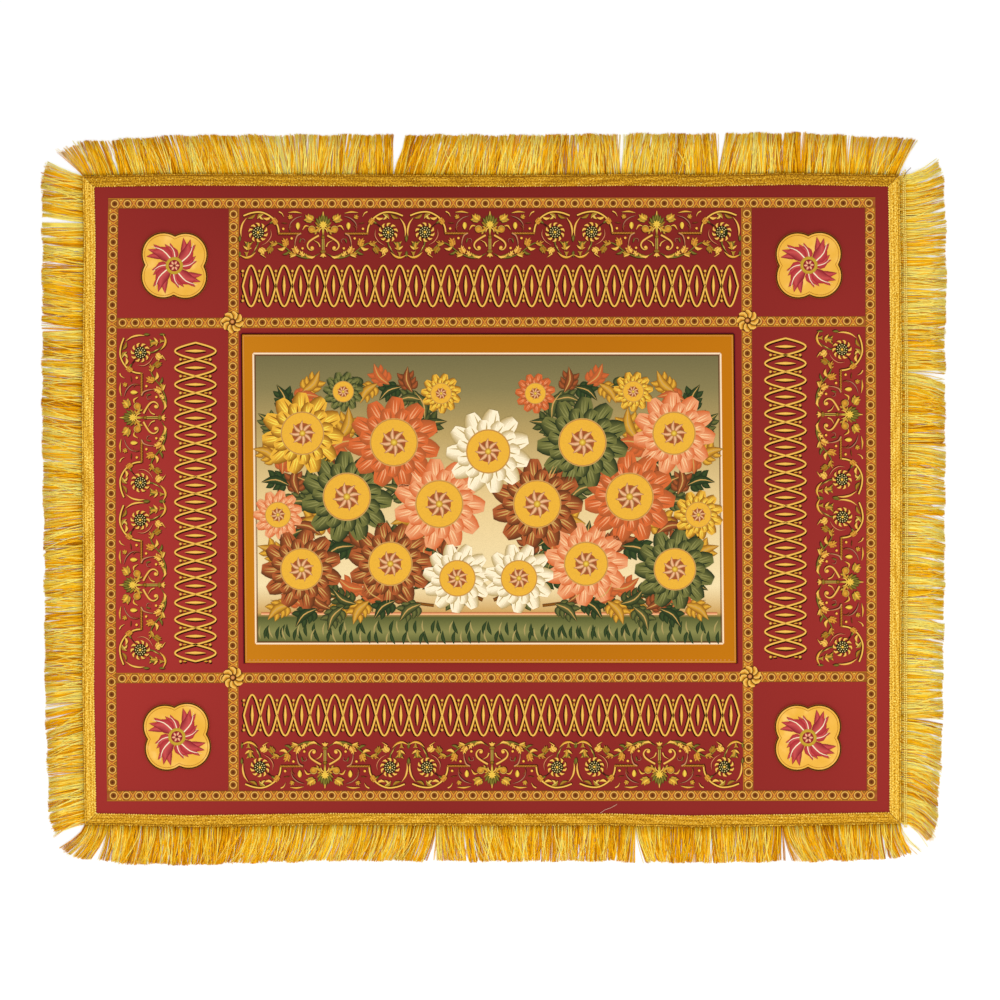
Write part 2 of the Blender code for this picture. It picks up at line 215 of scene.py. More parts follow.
# Scroll bands: the palmettes' places, and the turn that faces their stars outwards.
SCROLLS = [
    {"turn": 0, "places": [(-188.0, 290.9), (-3.8, 291.2), (180.4, 291.5)]},
    {"turn": 180, "places": [(-186.0, -293.6), (-1.5, -293.3), (183.3, -293.0)]},
    {"turn": 90, "places": [(-386.6, 89.6), (-386.9, -95.2)]},
    {"turn": -90, "places": [(381.8, 93.0), (382.4, -92.0)]},
]

# Wave friezes: middle, turn, number of waves and length.
FRIEZES = [
    {"x": -3.2, "y": 235.1, "turn": 0, "waves": 30, "length": 547.0},
    {"x": -2.0, "y": -239.0, "turn": 0, "waves": 30, "length": 547.0},
    {"x": -329.2, "y": -3.6, "turn": 90, "waves": 19, "length": 352.0},
    {"x": 322.4, "y": 1.3, "turn": 90, "waves": 19, "length": 352.0},
]

# Across the heading, from its inner edge: place, height of its face, and how bright it is painted; its low
# groove is darkened as painted shade.
HEADING_PROFILE = [
    {"at": 0.0, "rise": 0.5, "tone": 0.4},
    {"at": 0.7, "rise": 1.0, "tone": 0.7},
    {"at": 1.6, "rise": 0.9, "tone": 0.4},
    {"at": 2.6, "rise": 1.15, "tone": 0.62},
    {"at": 4.0, "rise": 1.2, "tone": 0.56},
    {"at": 5.4, "rise": 1.1, "tone": 0.48},
    {"at": 6.8, "rise": 1.2, "tone": 0.6},
    {"at": 8.4, "rise": 1.15, "tone": 0.54},
    {"at": 9.8, "rise": 1.1, "tone": 0.5},
    {"at": 10.5, "rise": 0.9, "tone": 0.2},
    {"at": 11.2, "rise": 1.2, "tone": 0.5},
    {"at": 12.0, "rise": 1.1, "tone": 0.4},
]

# Rows of stitches and loops along the heading: place across it, spacing, half sizes, slant and tone.
STITCH_ROWS = [
    {"at": 0.0, "pitch": 2.75, "half": (1.05, 0.9, 0.7), "rise": 0.8, "slant": 0, "tone": 0.95},
    {"at": 2.4, "pitch": 3.0, "half": (1.45, 0.5, 0.32), "rise": 1.2, "slant": 18, "tone": 0.8},
    {"at": 5.0, "pitch": 3.4, "half": (1.2, 0.45, 0.3), "rise": 1.15, "slant": -30, "tone": 0.25},
    {"at": 7.4, "pitch": 3.0, "half": (1.45, 0.5, 0.32), "rise": 1.2, "slant": -18, "tone": 0.75},
    # The row in the groove is darkened as painted shade.
    {"at": 10.5, "pitch": 2.8, "half": (1.3, 0.42, 0.3), "rise": 1.0, "slant": 0, "tone": 0.0},
    {"at": 11.8, "pitch": 2.0, "half": (0.7, 1.2, 0.4), "rise": 1.1, "slant": 24, "tone": 0.6},
]

# The right side's threads are chained together where they leave the heading.
ROOT_ROWS = {
    "right": [
        {"at": 14.4, "pitch": 2.7, "half": (0.9, 0.8, 0.4), "rise": 1.0, "slant": 30, "tone": 0.6},
        {"at": 16.2, "pitch": 2.4, "half": (1.25, 0.95, 0.5), "rise": 0.95, "slant": 20, "tone": 1.1},
        {"at": 18.2, "pitch": 2.4, "half": (1.25, 0.95, 0.5), "rise": 0.9, "slant": -20, "tone": 1.15},
    ],
}

# Snipped ends of thread left on the cloth
LOOSE_THREADS = {
    "loose_thread_bottom": {"path": [(116.7, -348.3, 2.0), (123.0, -343.6, 2.3), (130.4, -341.0, 2.2),
                                     (136.6, -337.3, 2.0)], "radius": 0.3, "colour": "#d9a78a"},
    "loose_thread_corner": {"path": [(452.6, 354.4, 3.2), (456.0, 360.6, 2.9), (461.1, 365.7, 1.6)],
                            "radius": 0.35, "colour": "#6b3a10"},
}

# How much brighter or duller each side's trim lies in the light
TRIM_TONES = {
    "top": {"heading": -0.2, "threads": 0.0},
    "bottom": {"heading": -0.07, "threads": -0.14},
    "left": {"heading": 0.14, "threads": 0.06},
    "right": {"heading": 0.16, "threads": 0.14},
}

HEADING_GOLDS = [(0.0, "#7d4f04"), (0.3, "#b07a0c"), (0.55, "#d29a20"), (0.8, "#eeb838"), (1.0, "#ffe070")]
FRINGE_GOLDS = [(0.0, "#c07600"), (0.22, "#e69a02"), (0.46, "#ffb808"), (0.72, "#ffd01c"), (1.0, "#ffee7c")]

INKS = {
    "pale gold": "#f2c45e",
    "gold": "#dba038",
    "amber": "#e2a02c",
    "deep gold": "#b3761f",
    "bronze": "#8a5518",
    "brown": "#5e2c14",
    "shadow": "#2a0c07",
    "stain": "#4c1712",
    "olive": "#857a2e",
    "dark olive": "#454014",
    "green black": "#171f10",
    "cream": "#f6e6c4",
    "lemon": "#ecd050",
    "rust": "#a5552c",
    "pink": "#c98c6a",
    "crimson": "#a62c32",
    "wine": "#84202a",
    "rose": "#c44f4c",
    "terracotta": "#cf6432",
    "salmon": "#e49868",
    "peach": "#f0bd8c",
    "leaf green": "#3a4a26",
    "moss": "#6c6c38",
    "umber": "#5b331b",
    "tan": "#c69a55",
    # painted highlight of the panel's rounded edge
    "edge light": "#c98638",
    "old gold": "#e3ab38",
    "olive gold": "#b3952c",
    "night green": "#232f1c",
    "turf": "#565a2e",
    "turf light": "#84824a",
    "parchment": "#ecd6a4",
    "straw": "#dfc288",
    "khaki": "#b49a60",
    "sage": "#85794e",
    "dull olive": "#6f6743",
}


def linear(code):
    """An sRGB hex colour as linear red, green and blue."""
    channels = [int(code[place:place + 2], 16) / 255 for place in (1, 3, 5)]
    return tuple(c / 12.92 if c <= 0.04045 else ((c + 0.055) / 1.055) ** 2.4 for c in channels)


INK_COLOURS = {name: np.array(linear(code)) for name, code in INKS.items()}


def add(tree, kind, inputs=None, **settings):
    """Add a shader node. settings are its properties, and inputs its sockets' values or links."""
    made = tree.nodes.new("ShaderNode" + kind)
    for key, value in settings.items():
        setattr(made, key, value)
    for socket, value in (inputs or {}).items():
        if isinstance(value, bpy.types.NodeSocket):
            tree.links.new(value, made.inputs[socket])
        else:
            made.inputs[socket].default_value = value
    return made


def new_material(name, roughness, metallic=0.0, specular=0.5):
    """A material with its even values set straight on the shader, and that shader."""
    material = bpy.data.materials.new(name)
    material.use_nodes = True
    shader = material.node_tree.nodes["Principled BSDF"]
    shader.inputs["Roughness"].default_value = roughness
    shader.inputs["Metallic"].default_value = metallic
    shader.inputs["Specular IOR Level"].default_value = specular
    return material, material.node_tree, shader


def ramp(tree, factor, stops):
    """A colour ramp from (place, hex colour) rows."""
    made = add(tree, "ValToRGB", {"Fac": factor})
    elements = made.color_ramp.elements
    while len(elements) < len(stops):
        elements.new(0.5)
    for element, (place, code) in zip(elements, stops):
        element.position = place
        element.color = (*linear(code), 1.0)
    return made.outputs["Color"]


def combined(tree, operation, *values):
    """The result of one operation on two or three values."""
    return add(tree, "Math", dict(enumerate(values)), operation=operation).outputs["Value"]


def between(tree, value, low, high, start=0.0, end=1.0):
    """A value that runs from low to high where the given one runs from start to end."""
    made = add(tree, "MapRange", {"Value": value, "From Min": start, "From Max": end, "To Min": low,
                                  "To Max": high})
    return made.outputs["Result"]


def noise(tree, place, scale, detail=2.0):
    """Soft noise between 0 and 1."""
    return add(tree, "TexNoise", {"Vector": place, "Scale": scale, "Detail": detail}).outputs["Fac"]


def twill(tree, shader, thread, strength, depth):
    """The bump of a diagonal weave whose threads are this many millimetres apart."""
    place = add(tree, "TexCoord").outputs["Object"]
    turned = add(tree, "Mapping", {"Vector": place, "Rotation": (0, 0, math.radians(63))})
    lines = add(tree, "TexWave", {"Vector": turned.outputs["Vector"], "Scale": 1 / (thread * MM * 3.2),
                                  "Distortion": 0.6, "Detail": 1.0})
    bump = add(tree, "Bump", {"Height": lines.outputs["Fac"], "Strength": strength, "Distance": depth * MM})
    tree.links.new(bump.outputs["Normal"], shader.inputs["Normal"])
    return place


def gabardine_material():
    """Printed polyester gabardine: a smooth close twill, matt and deep in colour seen face on.

    Painted light makes its red lighter towards the sides, the middle of the height, the lower edge and one
    place at the left.
    """
    material, tree, shader = new_material("red_printed_gabardine", 0.8, specular=0.03)
    place = twill(tree, shader, 0.8, 0.25, 0.12)
    split = add(tree, "SeparateXYZ", {"Vector": place})
    # Painted light: the red is made lighter towards the sides, the middle of the height, the lower edge and
    # round one place at the left; the noise clouds are random tone.
    aside = combined(tree, "SUBTRACT", split.outputs["X"], 0.04)
    sides = combined(tree, "MULTIPLY", aside, aside)
    upward = combined(tree, "MULTIPLY", split.outputs["Y"], split.outputs["Y"])
    gain = between(tree, upward, 2.1, 1.5, end=0.09)
    down = between(tree, split.outputs["Y"], 0.33, 0.1, -0.34, 0.34)
    level = combined(tree, "MULTIPLY_ADD", sides, gain, down)
    cloudy = between(tree, noise(tree, place, 3.2, 3.0), -0.16, 0.16)
    painted_middle_light = between(tree, upward, 0.15, 0.0, end=0.116)
    distance = add(tree, "VectorMath", {0: place, 1: PAINTED_LIGHT_PLACE}, operation="DISTANCE")
    bright = between(tree, distance.outputs["Value"], 0.26, 0.0, end=PAINTED_LIGHT_REACH)
    for part in (cloudy, painted_middle_light, bright):
        level = combined(tree, "ADD", level, part)
    tree.links.new(ramp(tree, level, [(0.0, "#72201c"), (1.0, "#a4332e")]), shader.inputs["Base Color"])
    return material


def ink_material():
    """Dye printed into the same gabardine, so it has the cloth's own weave and dullness."""
    material, tree, shader = new_material("printing_ink_on_gabardine", 0.75, specular=0.03)
    place = twill(tree, shader, 0.8, 0.25, 0.12)
    ink = add(tree, "Attribute", attribute_name="ink").outputs["Color"]
    speck = between(tree, noise(tree, place, 900.0), 0.86, 1.14)
    scaled = add(tree, "VectorMath", {0: ink, "Scale": speck}, operation="SCALE")
    tree.links.new(scaled.outputs["Vector"], shader.inputs["Base Color"])
    return material


def panel_material():
    """Ochre satin-faced polyester over stiffening: smooth, with a faint straight weave."""
    material, tree, shader = new_material("ochre_printed_satin", 0.65, specular=0.03)
    place = twill(tree, shader, 0.7, 0.15, 0.08)
    split = add(tree, "SeparateXYZ", {"Vector": place})
    side = between(tree, split.outputs["X"], 0.0, 1.0, -0.28, 0.28)
    ochres = [(0.0, "#c07713"), (0.3, "#b56c0d"), (0.7, "#b46b0c"), (1.0, "#bc710d")]
    tree.links.new(ramp(tree, side, ochres), shader.inputs["Base Color"])
    return material


def medallion_material():
    """Yellow-gold satin patch: smooth and softly lustrous, with faint clouds in its dye."""
    material, tree, shader = new_material("yellow_gold_satin", 0.6, specular=0.05)
    place = twill(tree, shader, 0.7, 0.2, 0.1)
    golds = [(0.3, "#e5ac3c"), (0.55, "#eab248"), (0.75, "#f4c264")]
    tree.links.new(ramp(tree, noise(tree, place, 60.0), golds), shader.inputs["Base Color"])
    return material


def lurex_material(name, painted_glint_depth, stops, metallic):
    """Lurex thread: flat metallised film round a polyester core, from deep to pale gold with its tone, and
    painted glints of fine noise.
    """
    material, tree, shader = new_material(name, 0.42, metallic, specular=0.05)
    place = add(tree, "TexCoord").outputs["Object"]
    tone = add(tree, "Attribute", attribute_name="tone").outputs["Fac"]
    # Painted glints: fine noise that lightens and darkens the gold
    painted_glint = between(tree, noise(tree, place, 700.0), -painted_glint_depth, painted_glint_depth)
    level = combined(tree, "ADD", tone, painted_glint)
    tree.links.new(ramp(tree, level, stops), shader.inputs["Base Color"])
    return material


def thread_material(name, code, roughness):
    """Plain sewing thread: spun polyester, one colour, with short fibres that dull it."""
    material, tree, shader = new_material(name, roughness)
    place = add(tree, "TexCoord").outputs["Object"]
    fibre = between(tree, noise(tree, place, 1500.0), 0.7, 1.3)
    base = add(tree, "VectorMath", {0: linear(code), "Scale": fibre}, operation="SCALE")
    tree.links.new(base.outputs["Vector"], shader.inputs["Base Color"])
    return material


def along_table(rows, at, column):
    """Read one column of a table whose rows start with a place, straight between its rows."""
    return float(np.interp(at, [row[0] for row in rows], [row[column] for row in rows]))


def edge_half(edge):
    """Half length of an edge of the red field, and how far that edge is from the middle."""
    lengthwise = edge["along"][0] != 0
    return (FIELD_HALF[0], FIELD_HALF[1]) if lengthwise else (FIELD_HALF[1], FIELD_HALF[0])


def edge_ends(edge):
    """Where an edge of the red field meets its two neighbours, as places along it."""
    ends = []
    for sign, (neighbour, its_end) in zip((-1, 1), edge["corners"]):
        bow = EDGES[neighbour]["bow"]
        ends.append(sign * (edge_half(edge)[0] + bow[0 if its_end < 0 else -1][1]))
    return ends


def edge_points(edge, at, outward, z):
    """Points beside an edge: at along it, outward of the field's own edge, bowed as the cloth is."""
    at, outward, z = np.broadcast_arrays(np.asarray(at, float), outward, z)
    bow = np.interp(at, [row[0] for row in edge["bow"]], [row[1] for row in edge["bow"]])
    distance = edge_half(edge)[1] + outward + bow
    x = FIELD_CENTRE[0] + edge["along"][0] * at + edge["out"][0] * distance
    y = FIELD_CENTRE[1] + edge["along"][1] * at + edge["out"][1] * distance
    return np.stack([x, y, z], axis=-1)


def relief(x, y):
    """Height of the laid cloth's swells and creases at places."""
    x, y = np.asarray(x, float), np.asarray(y, float)
    height = np.zeros(np.broadcast(x, y).shape)
    for swell in SWELLS:
        across = np.clip(1 - ((x - swell["x"]) / swell["half_x"]) ** 2, 0, None)
        up = np.clip(1 - ((y - swell["y"]) / swell["half_y"]) ** 2, 0, None)
        height += swell["height"] * across ** 2 * up ** 2
    return height


def cloth_top(x, y):
    return CLOTH_THICKNESS + relief(x, y)


def panel_top(x, y):
    share_y = (np.asarray(y, float) - PANEL_CENTRE[1]) / (PANEL_SIZE[1] / 2)
    share_x = (np.asarray(x, float) - PANEL_CENTRE[0] + share_y * PANEL_SHEAR / 2) / (PANEL_SIZE[0] / 2)
    return SURFACE + PANEL_THICKNESS + PANEL_CROWN * (1 - share_x ** 2) * (1 - share_y ** 2)


def medallion_top(x, y):
    return np.full(np.shape(x), SURFACE + MEDALLION_THICKNESS)


def show(name, mesh, material):
    """Put a finished mesh into the scene as a piece of the object."""
    mesh.materials.append(material)
    piece = bpy.data.objects.new(name, mesh)
    bpy.context.scene.collection.objects.link(piece)
    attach(piece, "root")
    return piece


def finish_mesh(name, bm, smooth=False):
    """Close the mesh, point its faces out and turn its millimetres into metres."""
    bmesh.ops.remove_doubles(bm, verts=bm.verts, dist=0.001)
    bmesh.ops.recalc_face_normals(bm, faces=bm.faces)
    bmesh.ops.scale(bm, vec=(MM, MM, MM), verts=bm.verts)
    mesh = bpy.data.meshes.new(name)
    bm.to_mesh(mesh)
    bm.free()
    if smooth:
        mesh.shade_smooth()
    return mesh


def lift_faces(bm, height):
    """Extrude all faces upwards, and return the vertices of the new top."""
    lifted = bmesh.ops.extrude_face_region(bm, geom=bm.faces[:])
    upper = [item for item in lifted["geom"] if isinstance(item, bmesh.types.BMVert)]
    bmesh.ops.translate(bm, vec=(0, 0, height), verts=upper)
    return upper


def array_mesh(name, points, faces, attribute, values, kind):
    """A mesh joined from many small copies, with one attribute on its points."""
    mesh = bpy.data.meshes.new(name)
    mesh.from_pydata((points * MM).tolist(), [], faces)
    layer = mesh.attributes.new(attribute, kind, "POINT")
    if kind == "FLOAT":
        layer.data.foreach_set("value", np.asarray(values, "f"))
    else:
        colours = np.ones((len(values), 4), "f")
        colours[:, :3] = values
        layer.data.foreach_set("color", colours.ravel())
    return mesh


# Drawing. A stamp is one motif, drawn once in its own flat frame and then laid many times.

PROFILES = {
    "even": [1.0, 1.0],
    "tail": [1.0, 0.95, 0.8, 0.5, 0.12],
    "spindle": [0.12, 0.7, 1.0, 0.7, 0.12],
    "leaf": [0.1, 0.62, 0.95, 1.0, 0.8, 0.45, 0.04],
    "petal": [0.35, 0.8, 1.0, 0.95, 0.5],
    "drop": [0.2, 0.75, 1.0, 0.95, 0.45],
}


def new_stamp():
    stamp = bmesh.new()
    stamp.verts.layers.float_color.new("ink")
    return stamp


def smooth_path(points, steps):
    """Points on a smooth curve through the given ones."""
    points = np.asarray(points, float)
    if len(points) == 2:
        return np.linspace(points[0], points[1], steps + 1)
    padded = np.vstack([2 * points[0] - points[1], points, 2 * points[-1] - points[-2]])
    curve = []
    for before, start, end, after in zip(padded, padded[1:], padded[2:], padded[3:]):
        for t in np.arange(steps) / steps:
            curve.append(0.5 * (2 * start + (end - before) * t
                                + (2 * before - 5 * start + 4 * end - after) * t ** 2
                                + (3 * start - before - 3 * end + after) * t ** 3))
    curve.append(points[-1])
    return np.array(curve)


def polar(reach, angle, centre=(0.0, 0.0)):
    """The point this far from centre, at an angle in radians."""
    return np.array([centre[0] + reach * math.cos(angle), centre[1] + reach * math.sin(angle)])


def arc(centre, radius, start, end, count=8):
    """Points on an arc, angles in degrees."""
    angles = np.radians(np.linspace(start, end, count))
    return np.stack([centre[0] + radius * np.cos(angles), centre[1] + radius * np.sin(angles)], axis=-1)


def ink_height(stamp, lift):
    """The height for a stamp's next ink. Those of one lift still lie a hair apart, so none share a plane."""
    return PRINT_LIFT + (lift + len(stamp.verts) % 8 / 8) * INK_STEP


def stroke(stamp, path, width, inks, lift=1, profile="even", steps=3):
    """A line of ink: a narrow grid bent along path. inks are its left, middle and right colours."""
    points = smooth_path(path, steps) if len(path) < 8 else np.asarray(path, float)
    rows = len(points) - 1
    tangents = np.gradient(points, axis=0)
    tangents /= np.linalg.norm(tangents, axis=1)[:, None] + 1e-9
    shape = PROFILES[profile]
    halves = width / 2 * np.interp(np.linspace(0, 1, rows + 1), np.linspace(0, 1, len(shape)), shape)
    left, middle, right = (INK_COLOURS[ink] for ink in inks)
    layer = stamp.verts.layers.float_color["ink"]
    height = ink_height(stamp, lift)
    made = bmesh.ops.create_grid(stamp, x_segments=4 if width > 9 else 2, y_segments=rows, size=1.0)["verts"]
    for vert in made:
        row, side = round((vert.co.y + 1) / 2 * rows), vert.co.x
        colour = middle + (right - middle) * max(side, 0) - (left - middle) * min(side, 0)
        aside = Vector((tangents[row][1], -tangents[row][0])) * side * halves[row]
        vert[layer] = (*colour, 1.0)
        vert.co = (points[row][0] + aside.x, points[row][1] + aside.y, height)


def disc(stamp, centre, radius, inks, lift=1, sides=10, squeeze=1.0, turn=0.0):
    """A round spot, or an oval one, from its middle ink to its rim's."""
    middle, rim = (INK_COLOURS[ink] for ink in inks)
    layer = stamp.verts.layers.float_color["ink"]
    height, known = ink_height(stamp, lift), len(stamp.verts)
    made = bmesh.ops.create_circle(stamp, cap_ends=True, cap_tris=True, segments=sides, radius=1.0)["verts"]
    if radius > 4:
        spokes = list({edge for vert in made for edge in vert.link_edges})
        bmesh.ops.subdivide_edges(stamp, edges=spokes, cuts=1, use_grid_fill=True)
        made = list(stamp.verts)[known:]
    cosine, sine = math.cos(math.radians(turn)), math.sin(math.radians(turn))
    for vert in made:
        vert[layer] = (*(middle + (rim - middle) * min(vert.co.length, 1)), 1.0)
        along, across = vert.co.x * radius, vert.co.y * radius * squeeze
        vert.co = (centre[0] + along * cosine - across * sine, centre[1] + along * sine + across * cosine,
                   height)


def leaf(stamp, base, tip, width, inks, bend=0.0, lift=2, vein=None, profile="leaf"):
    """A pointed leaf from base to tip, bowed sideways by bend of its length, with or without a vein."""
    base, tip = np.asarray(base, float), np.asarray(tip, float)
    aside = np.array([base[1] - tip[1], tip[0] - base[0]]) * bend
    path = [base, (base + tip) / 2 + aside, tip]
    stroke(stamp, path, width, inks, lift, profile, steps=3 if np.linalg.norm(tip - base) > 11 else 2)
    if vein:
        stroke(stamp, [base, (base + tip) / 2 + aside, base + 0.8 * (tip - base)], width * 0.16,
               (vein,) * 3, lift + 1, "tail", steps=3)


def lobed_leaf(stamp, base, tip, width, inks, bend=0.0, lift=2, lobes=3):
    """A curling leaf with small lobes down both sides."""
    base, tip = np.asarray(base, float), np.asarray(tip, float)
    forward = tip - base
    aside = np.array([-forward[1], forward[0]])
    middle = (base + tip) / 2 + aside * bend
    spine = smooth_path([base, middle, tip], 6)
    for index in range(lobes):
        share = (index + 0.6) / (lobes + 0.6)
        root = spine[round(share * (len(spine) - 1) * 0.8)]
        reach = width * (0.62 - 0.16 * abs(share - 0.4))
        for side in (-1, 1):
            end = root + aside / np.linalg.norm(aside) * side * reach + forward * 0.24
            leaf(stamp, root, end, width * 0.42, inks if side > 0 else inks[::-1], 0.16 * side, lift)
    stroke(stamp, [base, middle, tip], width * 0.6, inks, lift + 1, "leaf", steps=3)


def cup_flower(stamp, centre, size, turn, inks, lift=2):
    """A small flower seen from the side: a cup with an outer petal on each side and a middle point."""
    up = polar(1, math.radians(turn))
    aside = np.array([-up[1], up[0]])
    centre = np.asarray(centre, float)
    base = centre - up * size * 0.5
    for side in (-1, 1):
        leaf(stamp, base, centre + up * size * 0.55 + aside * side * size * 0.5, size * 0.42,
             inks if side > 0 else inks[::-1], -0.22 * side, lift)
    leaf(stamp, base, centre + up * size * 0.5, size * 0.4, inks, 0.0, lift + 1)


def motif_arrays(bm):
    """A small mesh's points, inks if it has any, and triangles as arrays."""
    bmesh.ops.triangulate(bm, faces=bm.faces[:])
    bm.verts.index_update()
    bm.normal_update()
    layer = bm.verts.layers.float_color.get("ink")
    points = np.array([vert.co[:] for vert in bm.verts])
    inks = np.array([vert[layer][:3] for vert in bm.verts]) if layer else None
    faces = np.array([[vert.index for vert in face.verts] for face in bm.faces])
    bm.free()
    return points, inks, faces


def motif(stamp, twice=False):
    """A flat stamp as arrays, its faces up. twice: with its mirror image beside it."""
    points, inks, faces = motif_arrays(stamp)
    corners = points[faces][:, :, :2]
    one, two = corners[:, 1] - corners[:, 0], corners[:, 2] - corners[:, 0]
    downward = one[:, 0] * two[:, 1] - one[:, 1] * two[:, 0] < 0
    faces[downward] = faces[downward][:, ::-1]
    if twice:
        faces = np.vstack([faces, faces[:, ::-1] + len(points)])
        points = np.vstack([points, points * (-1, 1, 1) + (0, 0, INK_STEP / 16)])
        inks = np.vstack([inks, inks])
    return points, inks, faces


def lay(name, layout, surface, material):
    """Lay motifs on a surface: layout rows are (motif, x, y, turn in degrees, stretch along, rise)."""
    all_points, all_inks, all_faces, count = [], [], [], 0
    for (points, inks, faces), x, y, turn, stretch, rise in layout:
        cosine, sine = math.cos(math.radians(turn)), math.sin(math.radians(turn))
        along, across = points[:, 0] * stretch, points[:, 1]
        placed = np.stack([x + along * cosine - across * sine, y + along * sine + across * cosine,
                           points[:, 2]], axis=-1)
        placed[:, 2] += surface(placed[:, 0], placed[:, 1]) + rise
        all_points.append(placed)
        all_inks.append(inks)
        all_faces.append(faces + count)
        count += len(points)
    mesh = array_mesh(name, np.vstack(all_points), np.vstack(all_faces).tolist(), "ink", np.vstack(all_inks),
                      "FLOAT_COLOR")
    return show(name, mesh, material)


def wash(stamp, width, height, rows):
    """A rectangle of ink that shades from its lower edge to its upper one: rows are (share, ink)."""
    layer = stamp.verts.layers.float_color["ink"]
    places = [share for share, ink in rows]
    made = bmesh.ops.create_grid(stamp, x_segments=12, y_segments=len(rows) - 1, size=1.0)["verts"]
    for vert in made:
        row = round((vert.co.y + 1) / 2 * (len(rows) - 1))
        vert[layer] = (*INK_COLOURS[rows[row][1]], 1.0)
        vert.co = (vert.co.x * width / 2, (places[row] - 0.5) * height, PRINT_LIFT)


def bead_ring():
    """One ring of the beaded band on its strip of brown."""
    half = BEAD_PITCH / 2
    stamp = new_stamp()
    stroke(stamp, [(-half, 0), (half, 0)], 11.4, ("bronze", "rust", "bronze"), 0, steps=4)
    stroke(stamp, [(-half, 5.2), (half, 5.2)], 1.2, ("rust", "deep gold", "bronze"), 1, steps=4)
    disc(stamp, (0, -0.5), 3.2, ("stain", "bronze"), 4, sides=12)
    stroke(stamp, arc((0, -0.5), 3.75, 0, 360, 15), 1.6, ("rust", "pale gold", "bronze"), 5)
    for side in (-1, 1):
        stroke(stamp, [(1.6 * side, -5.6), (3.2 * side, -4.8)], 0.6, ("pink",) * 3, 7, "spindle", 1)
    return motif(stamp)


def bead_knot():
    """The two strands that cross between rings, with a bright drop on the band's outer side."""
    stamp = new_stamp()
    for side in (-1, 1):
        strand = [(-3.6 * side, -5.2), (-0.9 * side, -1.6), (0.9 * side, 1.4), (3.4 * side, 4.8)]
        stroke(stamp, strand, 1.6, ("rust", "amber", "rust"), 2 + side / 2, steps=2)
    disc(stamp, (0, 3.4), 1.9, ("pale gold", "deep gold"), 6, sides=8, squeeze=0.6)
    disc(stamp, (0, -4.2), 1.2, ("gold", "bronze"), 6, sides=6, squeeze=0.6)
    return motif(stamp)


def crossing_motif():
    """A rosette of eight fat curled petals that covers the crossing of two bands."""
    stamp = new_stamp()
    disc(stamp, (0, 0), 11.6, ("shadow", "brown"), 1, sides=24)
    for index in range(8):
        angle = math.radians(45 * index + 12)
        base, tip = polar(3.0, angle), polar(11.3, angle + 0.62)
        leaf(stamp, base, tip, 5.0, ("bronze", "amber", "pale gold"), -0.3, 2, profile="petal")
        leaf(stamp, base, tip, 1.3, ("pink", "pale gold", "gold"), -0.4, 3)
    disc(stamp, (0, 0), 4.0, ("shadow", "brown"), 4, sides=14)
    disc(stamp, (-0.3, 0.3), 2.3, ("salmon", "deep gold"), 5)
    return motif(stamp)


def scroll_rosette(stamp, centre):
    """A dark flower with rings of pale dots inside a crown of curled petals."""
    for index in range(10):
        angle = math.radians(36 * index + 10)
        base, tip = polar(6.0, angle, centre), polar(10.6, angle + 0.42, centre)
        leaf(stamp, base, tip, 2.9, ("bronze", "pale gold", "gold"), -0.3, 4)
    disc(stamp, centre, 6.8, ("dark olive", "green black"), 5, sides=16)
    for count, radius in ((12, 5.2), (7, 2.9)):
        for index in range(count):
            dot = polar(radius, 2 * math.pi * index / count, centre)
            disc(stamp, dot, 0.62, ("cream", "pale gold"), 6, sides=5)
    disc(stamp, centre, 1.5, ("lemon", "gold"), 6, sides=6)


